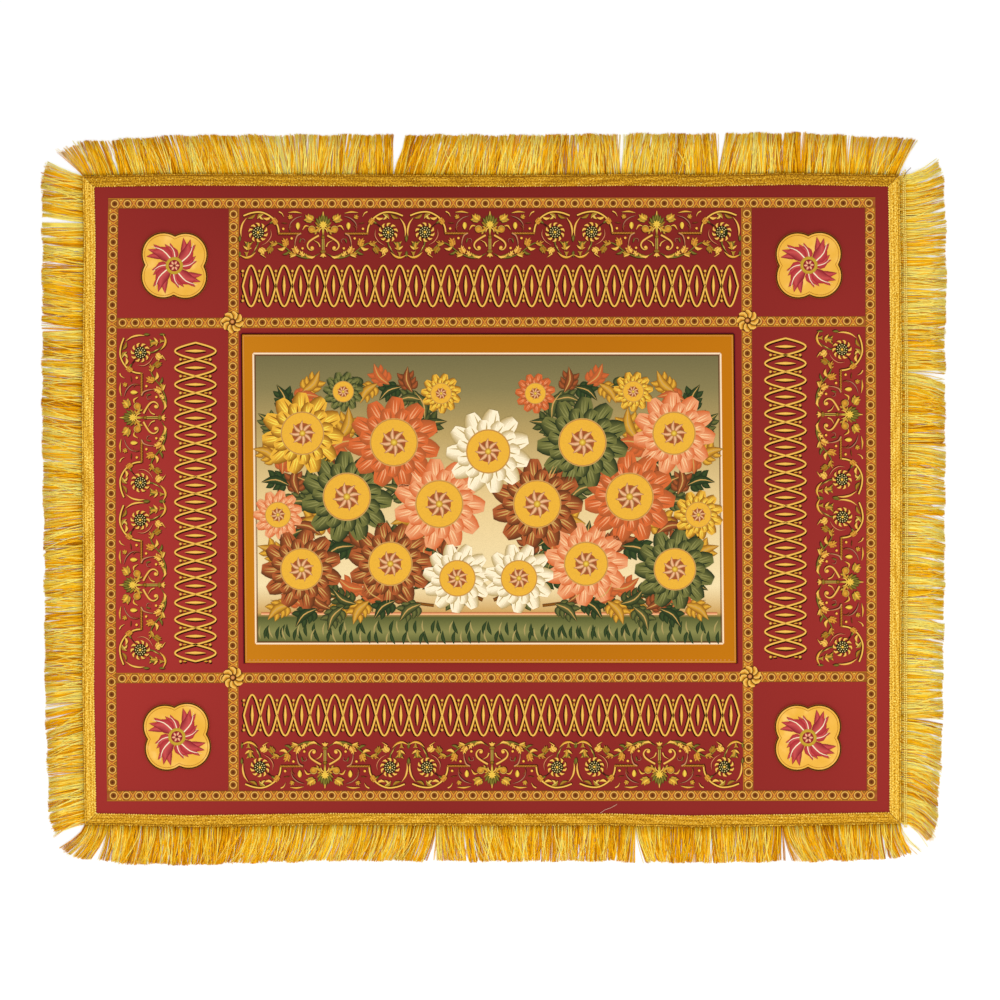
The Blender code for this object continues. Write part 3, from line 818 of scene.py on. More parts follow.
def scroll_motif():
    """Half of the scroll repeat, from the palmette's axis to the line between two rosettes."""
    gold = ("deep gold", "gold", "pale gold")
    dark = ("dark olive", "olive", "dark olive")
    bright = ("gold", "pale gold", "deep gold")
    stamp = new_stamp()
    scroll_rosette(stamp, (-71.8, 3.2))
    # The stem that arches over the rosette, then runs in as a twisted bar and drops
    stem = [(-88, 21.5), (-79.5, 24.6), (-69.5, 25.6), (-61, 22.6), (-54, 17), (-50, 9.5), (-48.8, 2)]
    stroke(stamp, stem, 2.6, ("shadow", "dark olive", "shadow"), 1)
    stroke(stamp, stem, 1.8, bright, 2)
    stroke(stamp, [(-49.4, 1.9), (-24, 1.9)], 2.5, ("brown", "deep gold", "brown"), 2, steps=3)
    for index in range(9):
        at = -48.5 + 2.85 * index
        stroke(stamp, [(at - 0.7, 0.8), (at + 0.9, 3.0)], 0.8, ("pale gold",) * 3, 3, "spindle", 1)
    stroke(stamp, [(-24.5, 1.9), (-28.6, -0.6), (-30.8, -7), (-31, -12.5)], 1.9,
           ("brown", "pink", "deep gold"), 3, "tail")
    # Leaves that hug the stem
    leaf(stamp, (-75, 23.2), (-84, 18.8), 3.6, ("olive", "deep gold", "dark olive"), 0.12, 3)
    leaf(stamp, (-66, 23.4), (-72.8, 18.0), 3.4, ("pale gold", "olive", "deep gold"), -0.2, 3)
    leaf(stamp, (-70, 22.6), (-65.6, 17.4), 2.9, ("olive", "pale gold", "deep gold"), -0.2, 3)
    leaf(stamp, (-58, 20), (-66.5, 19.4), 3.2, bright, 0.2, 3)
    lobed_leaf(stamp, (-50.6, 12), (-57.4, 18.4), 4.7, ("deep gold", "gold", "rust"), -0.1, 3)
    leaf(stamp, (-59.5, 12.6), (-53.5, 15.6), 2.7, dark, 0.1, 2)
    stroke(stamp, [(-65, 8.5), (-58.5, 13.5)], 1.0, ("green black",) * 3, 3, "spindle", 2)
    # Side blade, the rosette's own arc, and the stem that carries it
    stroke(stamp, [(-84.6, 19.2), (-89, 12.6), (-90.8, 4.6), (-90.4, -1.5)], 2.3,
           ("rust", "pale gold", "gold"), 3, "spindle")
    stroke(stamp, [(-58, 6.5), (-57.4, -0.4), (-61.4, -7), (-68, -11.2)], 1.1,
           ("rust", "salmon", "rust"), 2, "spindle")
    stroke(stamp, [(-71.8, -3.5), (-72.3, -10.6), (-75.4, -16.6), (-80, -22)], 1.6, dark, 2, "tail")
    stroke(stamp, [(-73, -11), (-76, -17)], 0.6, ("pale gold",) * 3, 3, "spindle", 2)
    stroke(stamp, [(-92, -21.8), (-85.6, -24.8), (-79.4, -23.2), (-74.6, -18.8)], 2.5,
           ("pale gold", "gold", "deep gold"), 3, "spindle")
    cup_flower(stamp, (-84.6, -21.0), 5.2, 90, ("deep gold", "olive", "gold"), 4)
    # Cup beside the stem, and the smudge of leaf on the repeat line
    cup_flower(stamp, (-82.4, -12.0), 9.5, 88, ("olive", "gold", "bronze"), 3)
    leaf(stamp, (-79, -14), (-88.5, -11.4), 3.1, bright, 0.2, 3)
    leaf(stamp, (-86, -12), (-78.4, -8.0), 2.3, dark, 0.2, 3)
    leaf(stamp, (-91.9, -0.2), (-91.9, -7.4), 3.1, dark, 0, 1)
    leaf(stamp, (-91.9, -17.5), (-91.9, -24.5), 2.7, dark, 0, 1)
    # Garland along the inner edge
    lobed_leaf(stamp, (-70.8, -14), (-65.4, -21.6), 5.9, ("deep gold", "pale gold", "gold"), 0.18, 3)
    stroke(stamp, [(-69, -20.5), (-63, -24.8)], 1.3, bright, 3, "tail", 2)
    lobed_leaf(stamp, (-56, -12.5), (-60.8, -20.8), 5.4, ("olive", "deep gold", "bronze"), -0.12, 3)
    stroke(stamp, [(-62, -16), (-57, -10.2), (-50, -8.6), (-42.4, -13), (-35.6, -18.4)], 1.4, dark, 2)
    stroke(stamp, [(-35.6, -18.4), (-27.4, -22.6), (-19.8, -24.6), (-11.4, -24), (-3.6, -19.8)], 2.2,
           dark, 2, "spindle")
    lobed_leaf(stamp, (-50, -8.8), (-60, -6.6), 4.1, ("rust", "gold", "brown"), 0.12, 3, 2)
    leaf(stamp, (-50.5, -9), (-57.5, -12.4), 3.6, ("gold", "olive", "deep gold"), -0.12, 4, "gold")
    lobed_leaf(stamp, (-40.5, -13), (-44.6, -2.6), 5.8, ("deep gold", "gold", "rust"), -0.1, 3)
    leaf(stamp, (-41.5, -12.4), (-50.4, -14.6), 3.6, bright, 0.24, 4)
    leaf(stamp, (-37, -17), (-45, -21), 3.1, dark, 0.15, 3)
    lobed_leaf(stamp, (-30, -20.5), (-38.6, -18.6), 4.0, ("olive", "gold", "bronze"), 0.14, 3, 2)
    leaf(stamp, (-29.5, -21.5), (-36.6, -24.6), 2.9, bright, -0.1, 4)
    lobed_leaf(stamp, (-27.6, -20.6), (-31.8, -11), 5.6, ("rust", "gold", "pale gold"), 0.12, 4)
    lobed_leaf(stamp, (-20.5, -23.2), (-25.6, -16.6), 4.3, ("deep gold", "pale gold", "gold"), 0.1, 3, 2)
    leaf(stamp, (-11, -23.6), (-20.6, -19.8), 4.3, ("olive", "gold", "dark olive"), 0.2, 3, "pale gold")
    leaf(stamp, (-8.6, -22.4), (-17, -23.8), 2.3, bright, 0.2, 4)
    # Blades, bud and curls between the bar and the outer edge
    stroke(stamp, [(-38.6, 25.2), (-31, 26.0), (-23.6, 24.4)], 1.9, gold, 2, "spindle")
    stroke(stamp, [(-48.8, 26.2), (-45.6, 24.4), (-43.4, 20.4)], 1.5, ("rust", "pale gold", "gold"),
           3, "tail")
    lobed_leaf(stamp, (-35.4, 18), (-37.6, 23.2), 4.0, ("deep gold", "gold", "olive"), 0, 2, 2)
    stroke(stamp, [(-22.6, 21.4), (-30, 19), (-35.6, 14), (-37.6, 8)], 1.3,
           ("dark olive", "pink", "brown"), 2, "spindle")
    stroke(stamp, [(-46.2, 14), (-39, 13.2)], 1.2, ("brown", "bronze", "brown"), 2, "spindle", 2)
    leaf(stamp, (-36, 4), (-33.4, 11.4), 1.6, ("brown", "rust", "brown"), 0.3, 2)
    leaf(stamp, (-27.8, 6.4), (-27.8, 14.0), 4.7, ("gold", "lemon", "deep gold"), 0, 3, profile="drop")
    for x, y in ((-44, 7.2), (-34.8, -3.4), (-22.8, -14.4)):
        disc(stamp, (x, y), 1.4, ("pale gold", "amber"), 3, sides=8)
    stroke(stamp, arc((-22.4, -6.2), 2.4, -70, 190), 0.7, ("brown", "pink", "brown"), 2, "spindle")
    leaf(stamp, (-26, -8.5), (-24.6, -2.6), 1.6, dark, 0, 2)
    lobed_leaf(stamp, (-10.6, 16.4), (-19.8, 22.8), 7.6, ("olive", "gold", "deep gold"), 0.14, 3)
    leaf(stamp, (-12, 17.4), (-17.6, 21.6), 2.2, ("gold", "lemon", "gold"), 0.1, 5)
    # Palmette: half of its fan, arms, fan stem, stalk and volute
    for angle, reach, colour in ((90, 14.5, dark), (112, 11.5, dark), (134, 11.5, dark),
                                 (158, 10, ("olive", "deep gold", "dark olive"))):
        leaf(stamp, (0, 10.5), polar(reach, math.radians(angle), (0, 11)), 4.2, colour, 0.08, 2)
    for angle in (90, 130, 170, 210, 250):
        tip = polar(4.8, math.radians(angle), (0, 11.6))
        leaf(stamp, (0, 11.6), tip, 2.0, ("gold", "lemon", "gold"), 0, 5)
    leaf(stamp, (0, 21), (0.3, 26.6), 1.1, bright, 0, 4)
    lobed_leaf(stamp, (-3.2, 9.4), (-14.6, 4.4), 5.0, ("olive", "gold", "deep gold"), 0.2, 3, 2)
    disc(stamp, (-12.6, 6.0), 3.6, ("gold", "deep gold"), 4)
    stroke(stamp, arc((-12.6, 6.4), 3.8, -30, 200), 1.1, ("dark olive", "pale gold", "olive"), 5, "spindle")
    stroke(stamp, [(-15.6, 9.8), (-19.6, 10.2), (-22.8, 5.6)], 2.0, gold, 3, "spindle")
    leaf(stamp, (0, 9), (-4.6, 2.2), 1.5, bright, -0.2, 4)
    stroke(stamp, [(-0.5, 9), (-0.5, -0.5)], 1.3, ("dark olive", "lemon", "gold"), 4, "tail", 2)
    stroke(stamp, [(-0.6, -0.5), (-0.6, -16)], 1.4, ("brown", "olive", "pale gold"), 3, steps=4)
    disc(stamp, (0, -2.0), 2.2, ("deep gold", "dark olive"), 4, sides=8)
    disc(stamp, (0, -18), 3.2, ("olive", "bronze"), 4, sides=8, squeeze=0.6)
    volute = [(-4.6, -0.2), (-10.4, -3.4), (-15.8, -7.4), (-17.4, -12), (-14.6, -16), (-11, -15.8),
              (-10.2, -13.4)]
    stroke(stamp, volute, 2.4, ("rust", "pale gold", "deep gold"), 4, "tail")
    stroke(stamp, [(-3.4, -12.6), (-5.4, -8.4), (-10.6, -5.4)], 1.6, ("deep gold", "pale gold", "rust"),
           3, "tail")
    disc(stamp, (-12.2, -13.8), 1.9, ("pale gold", "gold"), 5, sides=8)
    leaf(stamp, (-1, -20), (-3.6, -23.6), 2.2, bright, 0.2, 4)
    leaf(stamp, (0, -19.8), (0, -25), 2.3, ("gold", "pale gold", "gold"), 0, 5)
    return motif(stamp, twice=True)


def frieze_motif():
    """One wave of two gold strands that cross, with a bud in its eye and a drop above and below."""
    stamp = new_stamp()
    along = np.linspace(0, 1, 13)
    for side in (-1, 1):
        rise = side * WAVE_HEIGHT * np.sin(math.pi * along)
        path = np.stack([WAVE_PITCH * along, rise], axis=-1)
        stroke(stamp, path, 2.1, ("deep gold", "pale gold", "gold"), 2 + side / 2)
        disc(stamp, (0, 16.4 * side), 1.7, ("pale gold", "deep gold"), 4, sides=8)
        leaf(stamp, (0, 9.5 * side), (0, 14.2 * side), 2.0, ("deep gold", "gold", "deep gold"), 0, 4)
    middle = WAVE_PITCH / 2
    stroke(stamp, [(middle, -11.5), (middle, 11.5)], 3.4, ("deep gold", "pale gold", "gold"), 4, "spindle",
           steps=8)
    return motif(stamp)


def shaded(flat, shift, ink):
    """A motif with a dark copy of itself printed under it, a little aside."""
    points, inks, faces = flat
    depth = float(np.ptp(points[:, 2])) + INK_STEP
    above = points + (0, 0, depth)
    return (np.vstack([points + (*shift, 0), above]),
            np.vstack([np.tile(INK_COLOURS[ink], (len(points), 1)), inks]),
            np.vstack([faces, faces + len(points)]))


def band_layout(ring, knot):
    """Rows that run rings along each band with knots between them, the drops on the band's left."""
    rows = []
    for band in BEAD_BANDS:
        start, end = np.array(band["start"]), np.array(band["end"])
        ahead = (end - start) / np.linalg.norm(end - start)
        start, end = start + ahead * band["inset"], end - ahead * band["inset"]
        length = float(np.linalg.norm(end - start))
        turn, stretch = math.degrees(math.atan2(ahead[1], ahead[0])), length / band["rings"] / BEAD_PITCH
        left = np.array((-ahead[1], ahead[0]))
        for half_step in range(1, 2 * band["rings"]):
            share = half_step / (2 * band["rings"])
            x, y = start + (end - start) * share + left * band["bow"] * 4 * share * (1 - share)
            rows.append((ring if half_step % 2 else knot, x, y, turn, stretch, band["rise"]))
    return rows


def seam_and_painted_shadow():
    """A dark line beside the panel's left, top and right edges, where it stands off the cloth: painted
    shadow, with the dark of the seam.
    """
    half_x, half_y = PANEL_SIZE[0] / 2 + SEAM_SHADOW_OUT, PANEL_SIZE[1] / 2 + SEAM_SHADOW_OUT
    lean = PANEL_SHEAR / 2
    corners = [(-half_x + lean, -half_y), (-half_x - lean, half_y), (half_x - lean, half_y),
               (half_x + lean, -half_y)]
    stamp = new_stamp()
    for start, end in zip(corners, corners[1:]):
        stroke(stamp, [start, end], 3.4, ("wine", "shadow", "shadow"), 1, steps=60)
    return motif(stamp)


def build_prints(ink):
    """All the ornament printed on the red ground, and the painted shadow beside the panel."""
    beads = band_layout(bead_ring(), bead_knot())
    crossing = crossing_motif()
    beads += [(crossing, x, y, 8.0 * index, 1.0, 0.32) for index, (x, y) in enumerate(CROSSINGS)]
    # The panel's painted shadow and seam line, laid with the beaded bands
    beads.append((seam_and_painted_shadow(), *PANEL_CENTRE, 0.0, 1.0, 0.0))
    bands = lay("beaded_bands", beads, cloth_top, ink)
    scroll = shaded(scroll_motif(), (-0.7, -0.7), "stain")
    rows = [(scroll, x, y, band["turn"], 1.0, 0.0) for band in SCROLLS for x, y in band["places"]]
    scrolls = lay("scroll_bands", rows, cloth_top, ink)
    wave = shaded(frieze_motif(), (-1.4, -0.7), "shadow")
    rows = []
    for band in FRIEZES:
        turn, step = math.radians(band["turn"]), band["length"] / band["waves"]
        for index in range(band["waves"]):
            along = (index - band["waves"] / 2) * step
            rows.append((wave, band["x"] + along * math.cos(turn), band["y"] + along * math.sin(turn),
                         band["turn"], step / WAVE_PITCH, 0.0))
    friezes = lay("wave_friezes", rows, cloth_top, ink)
    return [bands, scrolls, friezes]


def build_ground_cloth(material):
    """A thin sheet on the same swells and creases, finely divided so that they stay soft."""
    half_x, half_y = FIELD_HALF[0] + TUCK, FIELD_HALF[1] + TUCK
    bm = bmesh.new()
    bmesh.ops.create_grid(bm, x_segments=round(2 * half_x / CLOTH_CELL),
                          y_segments=round(2 * half_y / CLOTH_CELL), size=1.0)
    for vert in bm.verts:
        share_x, share_y = vert.co.x, vert.co.y
        side = EDGES["right" if share_x > 0 else "left"]
        end = EDGES["top" if share_y > 0 else "bottom"]
        shift_x = share_x * abs(share_x) * along_table(side["bow"], -share_y * half_y, 1)
        shift_y = share_y * abs(share_y) * along_table(end["bow"], share_x * half_x, 1)
        x = FIELD_CENTRE[0] + share_x * half_x + shift_x
        y = FIELD_CENTRE[1] + share_y * half_y + shift_y
        vert.co = (x, y, float(relief(x, y)))
    lift_faces(bm, CLOTH_THICKNESS)
    mesh = finish_mesh("printed_ground_cloth", bm, smooth=True)
    piece = show("printed_ground_cloth", mesh, material)
    piece.data.set_sharp_from_angle(angle=math.radians(40))
    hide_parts("ground_cloth")
    return piece


def top_rim(bm, upper):
    """The edges around a raised top, where it meets its walls."""
    raised = set(upper)
    return [edge for edge in bm.edges if raised.issuperset(edge.verts)
            and any(not raised.issuperset(face.verts) for face in edge.link_faces)]


def build_centre_panel(material):
    """The stiffened panel, with a finely rounded edge and its faint crown."""
    half_x, half_y = PANEL_SIZE[0] / 2, PANEL_SIZE[1] / 2
    bm = bmesh.new()
    bmesh.ops.create_grid(bm, x_segments=40, y_segments=28, size=1.0)
    bmesh.ops.scale(bm, vec=(half_x, half_y, 1), verts=bm.verts)
    bmesh.ops.translate(bm, vec=(0, 0, SURFACE), verts=bm.verts)
    upper = lift_faces(bm, PANEL_THICKNESS)
    bmesh.ops.bevel(bm, geom=top_rim(bm, upper), offset=PANEL_EDGE, segments=3, profile=0.5,
                    affect="EDGES", material=-1)
    for vert in bm.verts:
        share_x, share_y = vert.co.x / half_x, vert.co.y / half_y
        if vert.co.z > SURFACE + PANEL_THICKNESS / 2:
            vert.co.z += PANEL_CROWN * (1 - share_x ** 2) * (1 - share_y ** 2)
        vert.co.x -= share_y * PANEL_SHEAR / 2
    bmesh.ops.translate(bm, vec=(*PANEL_CENTRE, 0), verts=bm.verts)
    mesh = finish_mesh("stiffened_panel", bm, smooth=True)
    piece = show("stiffened_panel", mesh, material)
    piece.data.set_sharp_from_angle(angle=math.radians(50))
    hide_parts("centre_panel")
    return piece


def medallion_outline(points_per_lobe, grow=0.0):
    """Points round four overlapping lobes."""
    radius = LOBE_RADIUS + grow
    reach = math.degrees(math.asin(LOBE_OFFSET / radius))
    outline = []
    for quarter in range(4):
        turn = math.radians(90 * quarter)
        lobe = arc((LOBE_OFFSET, LOBE_OFFSET), radius, -reach, 90 + reach, points_per_lobe + 1)[:-1]
        cosine, sine = math.cos(turn), math.sin(turn)
        outline += [(x * cosine - y * sine, x * sine + y * cosine) for x, y in lobe]
    return outline


def build_medallion(name, place, material):
    """A patch of four lobes with a rounded edge."""
    bm = bmesh.new()
    bm.faces.new([bm.verts.new((x, y, SURFACE)) for x, y in medallion_outline(24)])
    upper = lift_faces(bm, MEDALLION_THICKNESS)
    bmesh.ops.bevel(bm, geom=top_rim(bm, upper), offset=MEDALLION_EDGE, segments=2, profile=0.5,
                    affect="EDGES", material=-1)
    turn = math.radians(place["turn"])
    cosine, sine = math.cos(turn), math.sin(turn)
    for vert in bm.verts:
        x, y = vert.co.x, vert.co.y
        vert.co.x = place["x"] + x * cosine - y * sine
        vert.co.y = place["y"] + x * sine + y * cosine
    piece = show(name + "_patch", finish_mesh(name + "_patch", bm), material)
    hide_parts(name)
    return piece


def plume(stamp, base, tip, width, inks, bend, lift):
    """A curled plume whose end frays into three points, with a pale line down one side."""
    base, tip = np.asarray(base, float), np.asarray(tip, float)
    forward = tip - base
    aside = np.array([-forward[1], forward[0]]) / np.linalg.norm(forward)
    for spread in (-1, 1, 0):
        end = tip + aside * spread * width * 0.5 - forward * 0.08 * abs(spread)
        leaf(stamp, base + forward * 0.3, end, width * 0.42, inks, bend * 0.5, lift)
    leaf(stamp, base, base + forward * 0.82, width, inks, bend, lift + 1)
    edge = aside * math.copysign(width * 0.3, bend)
    line = [base + edge * 0.5, base + forward * 0.5 + edge * 1.5, base + forward * 0.95 + edge]
    stroke(stamp, line, width * 0.1, ("pink", "cream", "cream"), lift + 2, "tail")


def medallion_motif():
    """Crimson plumes that whirl round a small gold roundel, inside a dark rim."""
    stamp = new_stamp()
    rim = medallion_outline(16, -0.7)
    stroke(stamp, rim + rim[:1], 1.7, ("brown", "shadow", "bronze"), 2)
    inner = medallion_outline(16, -3.6)
    stroke(stamp, inner + inner[:1], 0.5, ("deep gold",) * 3, 2)
    for index in range(4):
        turn = math.radians(90 * index)
        for offset, reach, swing, width, lift in ((0.1, 26.0, 0.34, 11.5, 3), (0.8, 34.0, 0.24, 15.5, 6)):
            base, tip = polar(5, turn + offset), polar(reach, turn + offset + swing)
            plume(stamp, base, tip, width, ("wine", "rose", "crimson"), -0.2, lift)
    disc(stamp, (0, 0), 9.6, ("old gold", "olive gold"), 10, sides=24)
    disc(stamp, (0, 0), 6.4, ("crimson", "wine"), 11, sides=16)
    for index in range(6):
        turn = math.radians(60 * index)
        leaf(stamp, polar(1.2, turn), polar(5.8, turn), 2.8, ("rose", "peach", "pink"), 0.1, 12)
    disc(stamp, (0, 0), 1.5, ("wine", "brown"), 13, sides=8)
    return motif(stamp)


def vine_motif(path, size):
    """A vine with lobed leaves set by turns on its two sides, and its mirror image."""
    stamp = new_stamp()
    curve = smooth_path(path, 8)
    stroke(stamp, curve, size * 0.12, ("umber", "bronze", "umber"), 1, "tail")
    lengths = np.concatenate([[0], np.cumsum(np.linalg.norm(np.diff(curve, axis=0), axis=1))])
    for index, at in enumerate(np.arange(size * 0.5, lengths[-1] - size * 0.3, size * 0.52)):
        point = np.array([np.interp(at, lengths, curve[:, axis]) for axis in (0, 1)])
        ahead = np.array([np.interp(at + 2, lengths, curve[:, axis]) for axis in (0, 1)]) - point
        ahead /= np.linalg.norm(ahead) + 1e-9
        side = 1 if index % 2 else -1
        aside = np.array([-ahead[1], ahead[0]]) * side
        tip = point + (ahead * 0.75 + aside * 0.8) * size
        dark, light = PANEL_TINTS[index % len(PANEL_TINTS)]
        lobed_leaf(stamp, point, tip, size * 0.62, (dark, light, dark), -0.14 * side, 2)
        leaf(stamp, point, tip, size * 0.05, ("tan",) * 3, -0.14 * side, 4)
    return motif(stamp, twice=True)


def blossom_motif(radius, hue, petals=11):
    """A big open flower: two crowns of folded petals round a flat gold heart."""
    dark, body, light = PETAL_HUES[hue]
    stamp = new_stamp()
    for crown, (share, width) in enumerate(((1.0, 0.44), (0.76, 0.34))):
        for index in range(petals):
            angle = 2 * math.pi * (index + 0.5 * crown) / petals + radius
            ahead = polar(1, angle)
            aside = np.array([-ahead[1], ahead[0]])
            base, tip = ahead * radius * 0.3, ahead * radius * share
            leaf(stamp, base, tip, radius * width, (dark, body, body), 0.05, 2 * crown, profile="petal")
            for side, ink in ((-0.5, dark), (0.0, light), (0.45, light)):
                inner = base + ahead * radius * 0.14
                outer = tip - ahead * radius * 0.06 + aside * side * radius * 0.16
                leaf(stamp, inner, outer, radius * 0.035, (ink,) * 3, 0.1 * side, 2 * crown + 1)
    heart = radius * 0.52
    disc(stamp, (0, 0), heart, ("old gold", "old gold"), 4, sides=28)
    stroke(stamp, arc((0, 0), heart, 0, 360, 29), radius * 0.03, ("rust", "tan", "tan"), 5)
    disc(stamp, (0, 0), heart * 0.5, ("umber", "rust"), 6, sides=16)
    for index in range(8):
        tip = polar(0.62 * heart, 2 * math.pi * index / 8)
        leaf(stamp, (0, 0), tip, heart * 0.2, ("bronze", "peach", "rust"), 0.1, 7)
    disc(stamp, (0, 0), heart * 0.16, ("lemon", "deep gold"), 8, sides=8)
    return motif(stamp)


PANEL_FIELD = (515.4, 319.8)     # inside the pale fillet
PANEL_FIELD_SHIFT = (-1.1, 0.2)
PANEL_SHADES = [(0.0, "turf"), (0.04, "turf light"), (0.09, "turf"), (0.105, "tan"), (0.2, "parchment"),
                (0.5, "straw"), (0.72, "khaki"), (0.88, "sage"), (1.0, "dull olive")]
PETAL_HUES = {
    "salmon": ("terracotta", "salmon", "peach"),
    "orange": ("rust", "terracotta", "salmon"),
    "green": ("night green", "moss", "turf light"),
    "brown": ("umber", "rust", "tan"),
    "cream": ("khaki", "cream", "cream"),
    "gold": ("bronze", "old gold", "lemon"),
}
PANEL_TINTS = [("night green", "moss"), ("umber", "rust"), ("night green", "leaf green"),
               ("rust", "terracotta"), ("bronze", "old gold"), ("night green", "turf")]
PANEL_VINES = [
    {"size": 34, "path": [(6, -112), (48, -92), (92, -58), (148, -52), (186, -12), (176, 54), (138, 76)]},
    {"size": 30, "path": [(92, -58), (128, -96), (178, -108), (222, -84), (226, -40), (206, -24)]},
    {"size": 30, "path": [(40, -96), (56, -50), (84, -16), (92, 30), (76, 74), (64, 100)]},
    {"size": 28, "path": [(186, -12), (222, 18), (236, 66), (214, 112), (196, 118)]},
    {"size": 26, "path": [(64, 100), (92, 122), (130, 126), (150, 112)]},
    {"size": 28, "path": [(60, -118), (120, -112), (180, -122), (240, -112)]},
]
# Blossoms of the right half: middle, radius, and their colour there and in the left half.
PANEL_BLOSSOMS = [
    (205, 72, 45, "salmon", "gold"), (104, 62, 50, "green", "orange"), (232, -18, 27, "gold", "salmon"),
    (156, 2, 50, "orange", "green"), (54, -6, 50, "brown", "salmon"), (206, -78, 44, "green", "brown"),
    (108, -72, 46, "salmon", "brown"), (34, -88, 38, "cream", "cream"), (160, 118, 22, "gold", "green"),
    (52, 116, 22, "orange", "gold"),
]


def panel_ground():
    """A field from dull green to cream over dark turf, inside a pale fillet, and the panel's edge lines, one
    a painted highlight.
    """
    stamp = new_stamp()
    wash(stamp, *PANEL_FIELD, PANEL_SHADES)
    half_x, half_y = PANEL_FIELD[0] / 2, PANEL_FIELD[1] / 2
    shift_x, shift_y = PANEL_FIELD_SHIFT
    edge_x, edge_y = PANEL_SIZE[0] / 2 - 1.4, PANEL_SIZE[1] / 2 - 1.4
    for x, y, off_x, off_y, width, inks in (
            (half_x, half_y, 0, 0, 2.4, ("rust", "cream", "peach")),
            (half_x - 2, half_y - 2, 0, 0, 0.8, ("umber",) * 3),
            # a painted highlight along the panel's rounded edge
            (edge_x, edge_y, -shift_x, -shift_y, 1.2, ("edge light",) * 3)):
        line = [(off_x + x * across, off_y + y * up) for across, up in ((-1, -1), (1, -1), (1, 1), (-1, 1))]
        for start, end in zip(line, line[1:] + line[:1]):
            stroke(stamp, [start, end], width, inks, 1, steps=12)
    for index in range(GRASS_BLADES):
        x = -half_x + 5 + (half_x * 2 - 10) * index / (GRASS_BLADES - 1)
        y = -half_y + 5 + 6 * math.sin(3.1 * index)
        dark = index % 3
        inks = ("night green", "leaf green", "night green") if dark else ("turf light", "khaki", "turf light")
        leaf(stamp, (x, y), (x + 5 * math.sin(1.7 * index), y + 15), 4.0 if dark else 2.2, inks, 0.1, 2)
    turf_top = -half_y + 33
    stroke(stamp, [(-half_x + 6, turf_top), (half_x - 6, turf_top)], 3.0, ("rust", "salmon", "peach"), 3,
           steps=12)
    for at in np.arange(-edge_x + 3, edge_x - 3, 4.6):
        stitch = [(at - shift_x, -edge_y + 1.8 - shift_y), (at + 1.6 - shift_x, -edge_y + 1.9 - shift_y)]
        stroke(stamp, stitch, 0.6, ("salmon",) * 3, 3, steps=1)
    points, inks, faces = motif(stamp)
    points[:, :2] += PANEL_FIELD_SHIFT
    points[:, 0] -= points[:, 1] / (PANEL_SIZE[1] / 2) * PANEL_SHEAR / 2
    return points, inks, faces


def build_panel_print(ink):
    """The panel's print: its ground, then vines, then blossoms from the sides to the middle."""
    middle_x, middle_y = np.add(PANEL_CENTRE, PANEL_FIELD_SHIFT)
    rows = [(panel_ground(), *PANEL_CENTRE, 0.0, 1.0, 0.0)]
    for index, vine in enumerate(PANEL_VINES):
        leaves = vine_motif(vine["path"], vine["size"])
        rows.append((leaves, middle_x, middle_y, 0.0, 1.0, 0.1 + 0.013 * index))
    for index, (x, y, radius, *hues) in enumerate(PANEL_BLOSSOMS):
        for side, hue in zip((1, -1), hues):
            rows.append((blossom_motif(radius, hue), middle_x + x * side, middle_y + y, 3.0 * index, 1.0,
                         0.25 + 0.06 * (index % 3) + 0.007 * side))
    rows.append((blossom_motif(46, "cream"), middle_x, middle_y + 52, 0.0, 1.0, 0.44))
    return lay("panel_print", rows, panel_top, ink)


def turned_over(edge):
    """Whether an edge's own two directions mirror the frame's, so that its faces need turning over."""
    return edge["along"][0] * edge["out"][1] - edge["along"][1] * edge["out"][0] < 0


def lock_tips(edge, at):
    """Where threads rooted at these places along the heading are carried to, and how far they drop."""
    comb = edge["comb"]
    places = [row[0] for row in comb]
    tip = at + np.interp(at, places, [row[1] for row in comb])
    drop = np.interp(at, places, [row[2] for row in comb])
    for parting, width in edge["partings"]:
        beyond = at - parting
        tip += np.copysign(width / 2, beyond) * np.exp(-np.abs(beyond) / PARTING_SPREAD)
    return tip, drop


def tube_mesh(name, edge, threads):
    """Threads as joined tubes of three sides. threads holds an array for each measure, one value a thread."""
    root, tip, phase, tone = threads["root"], threads["tip"], threads["phase"], threads["tone"]
    root_z, tip_z = threads["root_z"], threads["tip_z"]
    count = len(root)
    points = np.zeros((count, THREAD_RINGS, 3, 3))
    tones = np.zeros((count, THREAD_RINGS, 3))
    along = np.array([*edge["along"], 0.0])
    for ring, share in enumerate(np.linspace(0, 1, THREAD_RINGS)):
        at = root + (tip - root) * share ** edge["bend"]
        at += threads["curl"] * np.sin(phase + 3.6 * share) * share
        outward = HEADING_WIDTH - ROOT_TUCK + (threads["drop"] + ROOT_TUCK) * share
        centre = edge_points(edge, at, outward, root_z + (tip_z - root_z) * share ** 0.75)
        reach = threads["radius"] * (1.0 - threads["taper"] * share ** 2)
        for side in range(3):
            angle = 2 * math.pi * side / 3 + math.pi / 2
            points[:, ring, side] = centre + (reach * math.cos(angle))[:, None] * along
            points[:, ring, side, 2] += FILM_FLATNESS * reach * math.sin(angle)
        tones[:, ring] = (tone + 0.1 * np.sin(phase + 5 * share) - 0.12 * (share < 0.1))[:, None]
    faces = []
    for ring in range(THREAD_RINGS - 1):
        for side in range(3):
            near, far = ring * 3, ring * 3 + 3
            faces.append((near + side, near + (side + 1) % 3, far + (side + 1) % 3, far + side))
    order = 1 if turned_over(edge) else -1
    faces = np.array(faces)[:, ::order]
    size = THREAD_RINGS * 3
    ends = np.array([(2, 1, 0), (size - 3, size - 2, size - 1)])[:, ::order]
    offsets = (np.arange(count) * size)[:, None, None]
    walls = (faces[None] + offsets).reshape(-1, 4).tolist()
    caps = (ends[None] + offsets).reshape(-1, 3).tolist()
    mesh = array_mesh(name, points.reshape(-1, 3), walls + caps, "tone", tones.reshape(-1), "FLOAT")
    mesh.shade_smooth()
    return mesh


